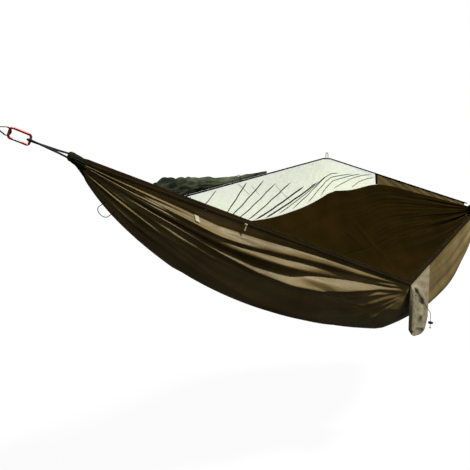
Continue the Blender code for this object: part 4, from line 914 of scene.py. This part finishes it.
# A flattened round section along the hem; its radius is cut by lumps and by creases, each a sine of angle
# and share, that run along the roll and twist, and pinched under the tie
def bundlePiece():
    share = np.linspace(0, 1, bundle["rings"])
    x = headX + bundle["start"] + bundle["length"] * share
    radius = bundleRadius(share)
    angle = np.arange(bundle["sides"]) * (2 * math.pi / bundle["sides"])
    s, a = share[:, None], angle[None, :]
    lumps = 1 - 0.10 * (0.5 + 0.5 * np.sin(5 * a + 9 * s) * np.cos(31 * s))
    generator = np.random.default_rng(23)
    for i in range(bundle["creases"]):
        count, twist = int(generator.integers(5, 17)), generator.uniform(-30, 30)
        phase = generator.uniform(0, 6.3)
        lumps = lumps + bundle["crease"] * np.sin(count * a + twist * s + phase) * np.sin(
            generator.uniform(14, 60) * s + phase)
    lumps = lumps - 0.03
    pinch = 1 - bundle["pinch"] * bell(s, tieShare, 0.012)
    upright = 0.5 - 0.5 * np.cos(a)
    low = topLine(x)
    points = np.stack([
        np.broadcast_to(x[:, None], lumps.shape),
        low[:, :1] + bundle["flat"] * radius[:, None] * np.sin(a) * lumps * pinch,
        low[:, 1:] + bundle["rest"] + 2 * radius[:, None] * upright * (1 - (1 - lumps * pinch) * upright),
    ], axis=-1)
    return tubePiece("net_bundle_roll", points, netBunched, pairGrid(bundle["length"] * s, a * 0.03))


netRoll = place(bundlePiece(), "bed", "net_bundle")


# A round cord on a smooth line through the given points
def cordPiece(name, node, path, radius, count, closed=False):
    line = smoothPath(path, count, closed)
    return place(
        sweptPiece(name, line, circleProfile(radius, 14), cordBlack, closed), "bed", node)


# Bundle tie: most of a circle round the roll, its ends set apart on the hem
tie = {"radius": 0.0016, "gap": 0.0010, "turn": 0.80, "feet": 0.0060, "points": 28}
tieX = headX + bundle["tie"]
tieLow = topLine(np.array(tieX))
tieRadius = float(bundleRadius(np.array(tieShare))) + tie["radius"] + tie["gap"]
tieTurns = np.linspace(-tie["turn"] * math.pi, tie["turn"] * math.pi, tie["points"])
tieCentre = tieLow[1] + bundle["rest"] + tieRadius - 0.0026
tiePath = np.stack([
    np.full(tie["points"], tieX), tieLow[0] + tieRadius * np.sin(tieTurns),
    tieCentre + tieRadius * np.cos(tieTurns)], axis=1)
tiePath = np.concatenate([
    [[tieX, tieLow[0] - tie["feet"], tieLow[1]]], tiePath, [[tieX, tieLow[0] + tie["feet"], tieLow[1]]]])
cordPiece("bundle_tie_cord", "bundle_tie", tiePath, tie["radius"], 90)

# Peak loop: two feet on the hem and half a circle over them
peakLoop = {"radius": 0.0020, "half": 0.009, "height": 0.021}
peakBase = peakPoint[2] + 0.0044
loopTurns = np.linspace(0, math.pi, 14)
peakArch = np.stack([
    peakPoint[0] - peakLoop["half"] * np.cos(loopTurns), np.full(14, peakPoint[1]),
    peakBase + peakLoop["height"] + peakLoop["half"] * np.sin(loopTurns)], axis=1)
peakFeet = [[peakPoint[0] + side * peakLoop["half"], peakPoint[1], peakBase] for side in (-1, 1)]
cordPiece("peak_loop_cord", "peak_loop", [peakFeet[0], *peakArch, peakFeet[1]], peakLoop["radius"], 90)


# A point of the folded bed and the way out of the cloth there
def onBed(x, share):
    grid = bedGrid(np.array([x - 0.003, x, x + 0.003]), np.array([share - 0.004, share, share + 0.004]))
    return grid[1, 1], -unit(np.cross(grid[2, 1] - grid[0, 1], grid[1, 2] - grid[1, 0]))


# Keel loop: from the head gather, on the underside, half an ellipse between two feet
keelLoop = {"reach": 0.105, "halfFeet": 0.016, "share": 0.47, "out": 0.029, "bulge": 0.016, "radius": 0.0014}
keelFeet = [
    onBed(headX + keelLoop["reach"] + side * keelLoop["halfFeet"], keelLoop["share"]) for side in (-1, 1)]
keelNormal = unit(keelFeet[0][1] + keelFeet[1][1])
keelFrom, keelTo = keelFeet[0][0], keelFeet[1][0]
keelMid, keelHalf = 0.5 * (keelFrom + keelTo), 0.5 * (keelTo - keelFrom)
keelPath = [keelFrom] + [
    keelMid - keelHalf * math.cos(t) + keelNormal * (keelLoop["out"] + keelLoop["bulge"] * math.sin(t))
    for t in np.linspace(0, math.pi, 12)] + [keelTo]
cordPiece("keel_loop_cord", "keel_loop", keelPath, keelLoop["radius"], 90)

tabRibbon = nylonMaterial("polyesterRibbonBeige", tones["tab"], 0.6, 160.0)
# reach is from the head gather, share of the girth at its top, fold its length when folded
tab = {"reach": 0.39, "share": 0.062, "width": 0.016, "fold": 0.031, "thickness": 0.0005, "lift": 0.0016}


# Side tab: a ribbon on the cloth below it, up the back, round a small bend and down the front; it follows
# the cloth by length, and both layers move out along the mean normal
def ribbonTab():
    x = headX + tab["reach"] + np.linspace(-0.5, 0.5, 13) * tab["width"]
    tryShares, under = tab["share"] + np.linspace(0, 0.06, 120), np.linspace(0, 1, 36)
    run = runLengths(bedGrid(x, tryShares)[6])
    patch = bedGrid(x, np.interp(under * tab["fold"], run, tryShares)).transpose(1, 0, 2)
    normal = unit(np.cross(np.gradient(patch, axis=0), np.gradient(patch, axis=1)))
    normal = normal * -np.sign(normal[..., 1:2])
    smooth = unit(normal.mean(axis=(0, 1)))
    lift = (tab["lift"] + 0.0045 * under**1.5 + 0.0006 * np.sin(5 * under))[:, None, None]
    back = patch + normal * 0.0007 + smooth * (lift - tab["lift"])
    front = patch + normal * 0.0007 + smooth * lift
    turns = np.linspace(0, math.pi, 9)[1:-1]
    gap, tip = front[-1] - back[-1], unit(patch[-1] - patch[-2]).mean(axis=0)
    bend = back[-1] + gap * (0.5 - 0.5 * np.cos(turns))[:, None, None] + tip * (
        0.0011 * np.sin(turns))[:, None, None]
    return clothPiece(
        "side_tab_ribbon", np.concatenate([back, bend, front[::-1]]), tab["thickness"], tabRibbon, tabRibbon)


sideTab = place(ribbonTab(), "bed", "side_tab")

# Stitches on both sides of the two long seams, seen as pale dots along the cloth
seamThread = {"pitch": 0.006, "beside": 0.0035, "lift": 0.0005, "length": 0.0036, "radius": 0.00035}


def seamStitches():
    rows = []
    for seam in layout["seams"]:
        for beside in (-seamThread["beside"], seamThread["beside"]):
            x = np.arange(headX + 0.06, footEnd[0] - 0.06, seamThread["pitch"])
            grid = np.linspace(x[0], x[-1], 500)
            step = bedGrid(grid, np.array([seam - 0.004, seam, seam + 0.004]))
            along = unit(np.gradient(step[:, 1], axis=0))
            normal = -unit(np.cross(along, step[:, 2] - step[:, 0]))
            over = unit(step[:, 2] - step[:, 0])
            pick = [
                np.stack([np.interp(x, grid, a[:, k]) for k in range(3)], axis=1)
                for a in (step[:, 1], along, normal, over)]
            rows.append((
                pick[0] + pick[3] * beside + pick[2] * seamThread["lift"], unit(pick[1]), unit(pick[2])))
    joined = [np.concatenate([row[k] for row in rows]) for k in range(3)]
    return stitchRow("long_seam_stitching", *joined, seamThread["length"], seamThread["radius"], threadBeige)


place(seamStitches(), "bed")
print("scene: loops, tab and seams made")

# Suspension at both ends, in metres: lengths along the line are from the anchor, backs from the gather
suspension = {
    "strapWidth": 0.015, "ply": 0.0017, "loop": 0.012, "taper": 0.034, "rod": 0.004, "longCarabiner": 0.067,
    "barMiddle": 0.2245, "bearGap": 0.0006, "sling": 0.0035, "slingGap": 0.0004, "slingSpread": 0.009,
    "slingBack": 0.0215, "gatherBack": 0.0375, "gatherRadius": 0.017, "pleats": 21,
    "tackPitch": 0.009, "tackStitches": 15, "tackLength": 0.0036, "tackRadius": 0.0004,
}
loopRadius = suspension["loop"]
innerCentre = (
    suspension["barMiddle"] - 0.5 * suspension["longCarabiner"] + suspension["rod"] + suspension["bearGap"]
    - loopRadius)
strapLoops = ((loopRadius, 1), (innerCentre, -1))


# Upper half of a drop: a round end, then straight to the tip
def teardropLine(centre, radius, tip, half, toward, steps=26):
    reach = math.hypot(tip, half)
    turn = math.atan2(half, tip) + math.acos(radius / reach)
    angles = np.linspace(math.pi, turn, steps)
    curve = np.stack([centre + toward * radius * np.cos(angles), radius * np.sin(angles)], axis=1)
    straight = np.linspace(0, 1, 12)[1:, None]
    last = np.array([centre + toward * tip, half])
    return np.concatenate([curve, curve[-1] + (last - curve[-1]) * straight])


# Strap: one closed band on a drop-shaped loop at each end, its two plies meeting between them
def strapPiece(end, spot):
    ply = suspension["ply"]
    first, second = [
        teardropLine(centre, loopRadius + 0.5 * ply, suspension["taper"], 0.52 * ply, toward)
        for centre, toward in strapLoops]
    middle = np.linspace(0, 1, 40)[1:-1, None]
    upper = np.concatenate([first, first[-1] + (second[-1] - first[-1]) * middle, second[::-1]])
    line = np.concatenate([upper, (upper * [1, -1])[::-1][1:-1]])
    ahead = unit(np.roll(line, -1, axis=0) - np.roll(line, 1, axis=0))
    away = np.stack([-ahead[:, 1], ahead[:, 0]], axis=1)
    outline = roundedBox(0.5 * suspension["strapWidth"], 0.5 * ply, 0.0007, 3)
    rings = spot(
        line[:, None, 0] + away[:, None, 0] * outline[None, :, 1],
        line[:, None, 1] + away[:, None, 1] * outline[None, :, 1],
        np.broadcast_to(outline[None, :, 0], (len(line), len(outline))))
    uv = pairGrid(runLengths(line)[:, None], outline[None, :, 0])
    strap = tubePiece(end + "_strap_webbing", rings, webbing, uv, closed=True)
    place(strap, "tree_straps", end + "_tree_strap")


# Bar tacks: three rows of close stitches on both faces of each loop's throat
def strapTacks(end, spot, anchor, pull, rise):
    count, lift = suspension["tackStitches"], suspension["ply"] + 0.0002
    tackPlaces = []
    for centre, toward in strapLoops:
        for k in range(3):
            start = centre + toward * (suspension["taper"] + 0.004 + suspension["tackPitch"] * k)
            over = np.linspace(-0.42, 0.42, count) * suspension["strapWidth"]
            ragged = 0.0004 * np.sin(np.arange(count) * 3)
            tackPlaces.append(spot(np.full(count, start) + ragged, np.full(count, lift), over))
            tackPlaces.append(spot(np.full(count, start), np.full(count, -lift), over))
    tacks = np.concatenate(tackPlaces)
    signs = np.sign((tacks - anchor) @ rise)[:, None]
    tack = stitchRow(
        end + "_strap_tacks", tacks, np.broadcast_to(pull, tacks.shape), signs * rise,
        suspension["tackLength"], suspension["tackRadius"], threadBlack)
    place(tack, "tree_straps")


# Sling: an endless cord round the carabiner's bar, a quarter turn, and through the gather
def slingPiece(end, spot, reach):
    spreadHalf = suspension["slingSpread"]
    turnRadius = suspension["rod"] + suspension["sling"] + suspension["slingGap"]
    barPlace = suspension["barMiddle"] + 0.5 * suspension["longCarabiner"]
    legFinish = reach - suspension["slingBack"] - spreadHalf
    halfTurn = np.linspace(-0.5, 0.5, 10) * math.pi
    share = np.linspace(0, 1, 14)[1:-1]
    twist = 0.5 * math.pi * (0.5 - 0.5 * np.cos(math.pi * share))
    out = np.maximum(
        turnRadius + (spreadHalf - turnRadius) * share - 0.0050 * np.sin(math.pi * share) ** 0.7, 0.0041)
    legAlong = barPlace + (legFinish - barPlace) * share
    legs = [spot(legAlong, side * out * np.sin(twist), side * out * np.cos(twist)) for side in (1, -1)]
    endTurn = legFinish + spreadHalf * np.cos(halfTurn[::-1])
    path = np.concatenate([
        spot(barPlace - turnRadius * np.cos(halfTurn), 0 * halfTurn, turnRadius * np.sin(halfTurn)), legs[0],
        spot(endTurn, spreadHalf * np.sin(halfTurn[::-1])), legs[1][::-1]])
    cordPiece(end + "_sling_cord", end + "_sling", path, suspension["sling"], 260, closed=True)


# Gathered cloth: rings from the tight tip to the open end. Each ring's radius is cut by pleats, the size of
# the sine of half their count times the angle and a drift, by crush waves, and by a groove for the sling
def gatherPiece(end, spot, reach, gatherPoint, pull, inward):
    x = gatherPoint[0] + inward * layout["clothInset"]
    endSection = clothGrid(np.array([x]), np.linspace(0, 1, 60))[0]
    left, right = endSection[:, 1].min(), endSection[:, 1].max()
    top, low = max(endSection[0, 2], endSection[-1, 2]), endSection[:, 2].min()
    faceCentre = np.array([x - inward * 0.0014, 0.5 * (left + right), top])
    tip = spot(reach - suspension["gatherBack"])
    t = np.linspace(0, 1, 90)
    ringShares = (0.0, 0.16, 0.34, 0.56, 0.78, 1.0)
    swell = smoothInterp(t, ringShares, (0.80, 1.0, 1.04, 1.10, 1.30, 1.55)) * suspension["gatherRadius"]
    deep = np.interp(t, ringShares, (0.0, 0.0, 0.02, 0.14, 0.50, 1.0))
    straight = tip + (gatherPoint - tip) * t[:, None]
    centre = straight + (faceCentre - straight) * deep[:, None]
    normalWay = unit(pull * (1 - t)[:, None] + np.array([inward, 0, 0]) * t[:, None])
    upWay = unit(np.cross(normalWay, sideways)) * inward
    halfLow, halfUp = swell + deep * (top - low + 0.003 - swell), swell + deep * (0.011 - swell)
    halfOut = swell + deep * (0.5 * (right - left) + 0.003 - swell)
    a, t = np.arange(252) * (2 * math.pi / 252), t[:, None]
    drift = 0.5 * np.sin(3 * t + 2 * np.sin(a)) + 0.35 * np.sin(7 * t + 3 * np.cos(2 * a))
    pleat = np.abs(np.sin(0.5 * suspension["pleats"] * a + drift * 2))
    crush = 0.5 + 0.5 * np.sin(5 * a + 11 * t + 2 * np.sin(3 * a))
    wavy = 1.0 - 0.15 * (1 - pleat) ** 1.6 - 0.07 * crush
    wavy = wavy - 0.16 * bell(t, 0.30, 0.035) * (0.6 + 0.4 * crush)
    wavy = wavy * (1 - 0.30 * np.clip(0.06 - t, 0, 1) / 0.06)
    halfHigh = np.where(np.sin(a) > 0, halfUp[:, None], halfLow[:, None])
    rings = centre[:, None] + (halfHigh * np.sin(a) * wavy)[..., None] * upWay[:, None] + (
        halfOut[:, None] * np.cos(a) * wavy)[..., None] * sideways
    gather = tubePiece(end + "_gathered_cloth", rings, nylonGather, pairGrid(t * 0.07, a * 0.02))
    place(gather, "bed", end + "_gather")


# One end, on the line from its anchor to its gather; inward is 1 at the head and -1 at the foot
def suspend(end, anchor, gatherPoint, inward):
    pull = unit(gatherPoint - anchor)
    rise = unit(np.cross(pull, sideways)) * inward
    reach = np.linalg.norm(gatherPoint - anchor)

    def spot(alongBy, upBy=0.0, outBy=0.0):
        return (anchor + pull * np.asarray(alongBy)[..., None] + rise * np.asarray(upBy)[..., None]
                + sideways * np.asarray(outBy)[..., None])

    strapPiece(end, spot)
    strapTacks(end, spot, anchor, pull, rise)
    slingPiece(end, spot, reach)
    gatherPiece(end, spot, reach, gatherPoint, pull, inward)


threadBlack = mouldedMaterial("polyesterThreadBlack", tones["strapThread"], 0.6)
anchors = [np.array(a) for a in layout["anchors"]]
suspend("head", anchors[0], headEnd, 1)
suspend("foot", anchors[1], footEnd, -1)
print("scene: straps, slings and gathers made")


# Hardware keeps its CAD shape and gets a finish
def dress(node, material):
    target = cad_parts[node]
    target.data.materials.clear()
    target.data.materials.append(material)
    target.data.polygons.foreach_set("material_index", np.zeros(len(target.data.polygons), np.int32))
    target.data.shade_smooth()
    target.data.set_sharp_from_angle(angle=math.radians(35))


for end in ("head", "foot"):
    dress(end + "_carabiner", anodisedRed)
    dress(end + "_carabiner_gate", wireSteel)
    dress(end + "_gate_pin", wireSteel)
dress("zip_slider", zincBeige)
dress("zip_pull", zincBeige)
dress("cord_lock", acetalBlack)
dress("cord_lock_plunger", acetalBlack)

sack = {
    "width": 0.280, "start": 0.014, "nearDrop": 0.245, "farDrop": 0.330, "thickness": 0.022,
    "topRadius": 0.0028, "gap": 0.0004, "roll": 0.0042, "blunt": 0.0060,
}
# The drawcord crosses the sack from startDown to endDown, shares of the drop there, and hangs past its edge
cord = {
    "radius": 0.0014, "out": 0.011, "gap": 0.0004, "startAlong": 0.04, "startDown": 0.05, "endDown": 0.80,
    "past": 0.0065, "bend": 0.022, "tail": 0.050,
}
# Creases of the sack: (from, to) as (share along, share down), width in shares, height in metres
sackCreases = (
    ((0.05, 0.06), (0.62, 0.46), 0.075, 0.0120), ((0.62, 0.46), (0.40, 0.66), 0.050, 0.0100),
    ((0.42, 0.62), (0.66, 1.0), 0.080, 0.0110), ((0.30, 0.40), (0.34, 1.0), 0.070, -0.0080),
    ((0.98, 0.04), (0.60, 0.48), 0.040, 0.0050), ((0.80, 0.55), (0.84, 0.95), 0.035, 0.0040),
    ((0.20, 0.84), (0.85, 0.93), 0.030, 0.0035), ((0.18, 0.15), (0.15, 0.95), 0.045, -0.0090),
    ((0.46, 0.02), (0.56, 0.22), 0.025, 0.0035), ((0.72, 0.04), (0.66, 0.26), 0.025, 0.0035),
)


# The sack hangs limp from its top edge. Its half thickness is that of a cushion, blunt on the side towards
# the head and thin on the other; each crease is a bell across its line and lifts the front, less so the back
def sackPiece():
    along, out, down = footFrame
    axisDown = zipCoil["down"] + zipCoil["cadRadius"] + sack["gap"] + sack["topRadius"]
    start = hemCorners(zipCoil["out"], axisDown)[1] + along * sack["start"]
    u, v = np.linspace(0, 1, 90)[:, None], np.linspace(0, 1, 110)[None, :]
    drop = sack["nearDrop"] + (sack["farDrop"] - sack["nearDrop"]) * u
    corner = np.where(u < 0.5, 0.13, 0.20) * (2 * np.abs(u - 0.5)) ** 4  # the lower corners are round
    tongue = 1 - corner - 0.02 * (2 * np.abs(u - 0.5)) ** 2
    creased = np.zeros((u.size, v.size))
    for (u0, v0), (u1, v1), width, height in sackCreases:
        direction = np.array([u1 - u0, v1 - v0])
        length = np.linalg.norm(direction)
        t = ((u - u0) * direction[0] + (v - v0) * direction[1]) / length**2
        off = ((u - u0) * direction[1] - (v - v0) * direction[0]) / length
        window = ramp(t, -0.05, 0.12) * (1 - ramp(t, 0.85, 1.08))
        uneven = 0.7 + 0.3 * np.sign(off) * np.tanh(np.abs(off) / width)
        creased += height * window * bell(off, 0.0, width) * uneven
    creased += 0.0012 * np.sin(23 * u + 7 * v + 2 * np.sin(9 * v)) + 0.0008 * np.sin(41 * v - 17 * u)
    edge = ramp(np.minimum(u, 1 - u), 0.0, 0.05)
    topEase = ramp(v, 0.0, 0.10)
    lowEase = 1 - ramp(v, 0.965, 1.0)
    side = np.where(u < 0.5, 0.62 + 0.38 * ramp(u, 0.0, 0.05), np.clip(4 * u * (1 - u), 0, 1) ** 0.35)
    cushion = side * np.sin(math.pi * v) ** 0.6
    cordFrom, cordTo = cord["startDown"] * sack["nearDrop"], cord["endDown"] * sack["farDrop"]
    cordDown = cordFrom + (cordTo - cordFrom) * (u - cord["startAlong"]) / 0.985
    underCord = bell(v * drop - cordDown, 0.0, 0.014)
    creased = creased * (1 - 0.6 * underCord) - 0.0030 * underCord
    roll = sack["roll"] * bell(u, 0.045, 0.035) * topEase  # rolled long edge towards the head
    half = 0.0011 + (0.5 * sack["thickness"] - 0.0045) * cushion * topEase
    half = half + sack["blunt"] * bell(u, 0.0, 0.11) * topEase * lowEase
    front = half + (creased * edge + roll) * topEase * (0.35 + 0.65 * lowEase)
    back = half - 0.6 * (creased * edge) * topEase * lowEase
    front, back = np.minimum(front, 0.0200 - 0.0090 * underCord), np.clip(back, 0.0009, 0.0055)
    front = np.maximum(front, -back + 0.0012)
    hemGroove = -0.0006 * (bell(v, 0.955, 0.004) + bell(v, 0.10, 0.004))
    top = start + along * (sack["width"] * u)[..., None]
    fall = worldDown * (drop * tongue * v)[..., None]
    frontPoints = top + fall + out * (front + hemGroove)[..., None]
    backPoints = top + fall - out * (back + hemGroove)[..., None]
    crownTurns = np.linspace(math.pi, 0, 7)[1:-1]
    crown = (top + out * (0.0014 * np.cos(crownTurns))[None, :, None]
             - down * (0.0026 * np.sin(crownTurns))[None, :, None])
    rings = np.concatenate([backPoints[:, ::-1], crown, frontPoints], axis=1)
    downRun = np.concatenate([(v * drop)[:, ::-1], np.zeros((u.size, len(crownTurns))), v * drop], axis=1)
    piece = tubePiece("stuff_sack_cloth", rings, sackCloth, pairGrid(u * sack["width"], downRun))
    return place(piece, "sack", "stuff_sack"), start


sackBag, sackStart = sackPiece()

# Drawcord: straight across the sack, a bend above the lock's travel, straight down, and a knot at its end
sackAlong, sackOut = footFrame[0], footFrame[1]
cordOut = cord["out"] + cord["radius"] + cord["gap"]
cordTop = sackStart + sackAlong * (cord["startAlong"] * sack["width"]) + worldDown * (
    cord["startDown"] * sack["nearDrop"]) + sackOut * cordOut
cordLow = sackStart + sackAlong * (sack["width"] + cord["past"] + cord["gap"]) + worldDown * (
    cord["endDown"] * sack["farDrop"]) + sackOut * cordOut
cordEnd = cordLow + worldDown * cord["tail"]
cordBend = cordLow - worldDown * cord["bend"]
drawPath = smoothPath(np.concatenate([
    cordTop + (cordBend - cordTop) * np.linspace(0, 1, 22)[:, None],
    cordBend + worldDown * (cord["bend"] * np.linspace(0, 1, 6)[1:, None]),
    cordLow + worldDown * (cord["tail"] * np.linspace(0, 1, 8)[1:, None])]), 120)
drawcord = sweptPiece("sack_draw_cord", drawPath, circleProfile(cord["radius"], 12), cordBlack)
place(drawcord, "sack", "sack_drawcord")
knotTurn = np.arange(60) * (2 * math.pi / 60)
knotPath = cordEnd + worldDown * 0.0008 + np.stack([
    0.0011 * (np.sin(knotTurn) + 2 * np.sin(2 * knotTurn)),
    0.0011 * (np.cos(knotTurn) - 2 * np.cos(2 * knotTurn)), -0.0016 * np.sin(3 * knotTurn)], axis=1)
knot = sweptPiece("sack_cord_knot", knotPath, circleProfile(0.0013, 10), cordBlack, closed=True)
place(knot, "sack")

# The floor is a plain sheet that glows for the camera alone, so that it stays pale and still takes a shadow
stage = {"size": 40.0, "centre": (1.75, 0.0), "height": -1.55, "glow": 0.955, "worldLight": 0.15}


def stageFloor():
    corners = np.array([[-1, -1], [1, -1], [1, 1], [-1, 1]]) * stage["size"]
    points = np.column_stack([corners + stage["centre"], np.full(4, stage["height"])])
    material, tree, shader = newMaterial("paperFloor", linear("404040"), 1.0, specular=0.0)
    seen = add(tree, "LightPath", {})["Is Camera Ray"]
    glow = add(tree, "Math", {"operation": "MULTIPLY", 1: stage["glow"]}, {0: seen})["Value"]
    shader.inputs["Emission Color"].default_value = (1, 1, 1, 1)
    joinTo(tree, shader, {"Emission Strength": glow})
    meshPiece("floor", points, [[0, 1, 2, 3]], material)


stageFloor()
world = bpy.data.worlds.new("studio")
bpy.context.scene.world = world
world.use_nodes = True
worldTree = world.node_tree
background = worldTree.nodes["Background"]
rays = add(worldTree, "LightPath", {})
seenDirect = add(
    worldTree, "Math", {"operation": "MAXIMUM"}, {0: rays["Is Camera Ray"], 1: rays["Is Transmission Ray"]})
strength = add(
    worldTree, "MapRange", {"To Min": stage["worldLight"], "To Max": 1.0}, {"Value": seenDirect["Value"]})
background.inputs["Color"].default_value = (1, 1, 1, 1)
joinTo(worldTree, background, {"Strength": strength["Result"]})


def sunLamp(name, towards, strengthValue, angle):
    lamp = bpy.data.lights.new(name, "SUN")
    lamp.energy, lamp.angle = strengthValue, math.radians(angle)
    holder = bpy.data.objects.new(name, lamp)
    direction = unit(towards)
    turn = math.atan2(direction[1], direction[0]) + 0.5 * math.pi
    holder.rotation_euler = (math.acos(direction[2]), 0.0, turn)
    bpy.context.scene.collection.objects.link(holder)


sunLamp("keySun", (0.30, -0.47, 0.83), 3.1, 7.0)

# The photo's own viewpoint, solved from it: place in metres, tilt and turn in degrees
view = {"lens": 39.83, "sensor": 36.0, "place": (-0.2795, -1.7336, -0.214), "tilt": 83.962, "turn": -38.0}
cameraData = bpy.data.cameras.new("photoCamera")
cameraData.lens, cameraData.sensor_width = view["lens"], view["sensor"]
camera = bpy.data.objects.new("photoCamera", cameraData)
camera.location = view["place"]
camera.rotation_euler = (math.radians(view["tilt"]), 0.0, math.radians(view["turn"]))
bpy.context.scene.collection.objects.link(camera)
bpy.context.scene.camera = camera
bpy.context.scene.view_settings.view_transform = "Standard"
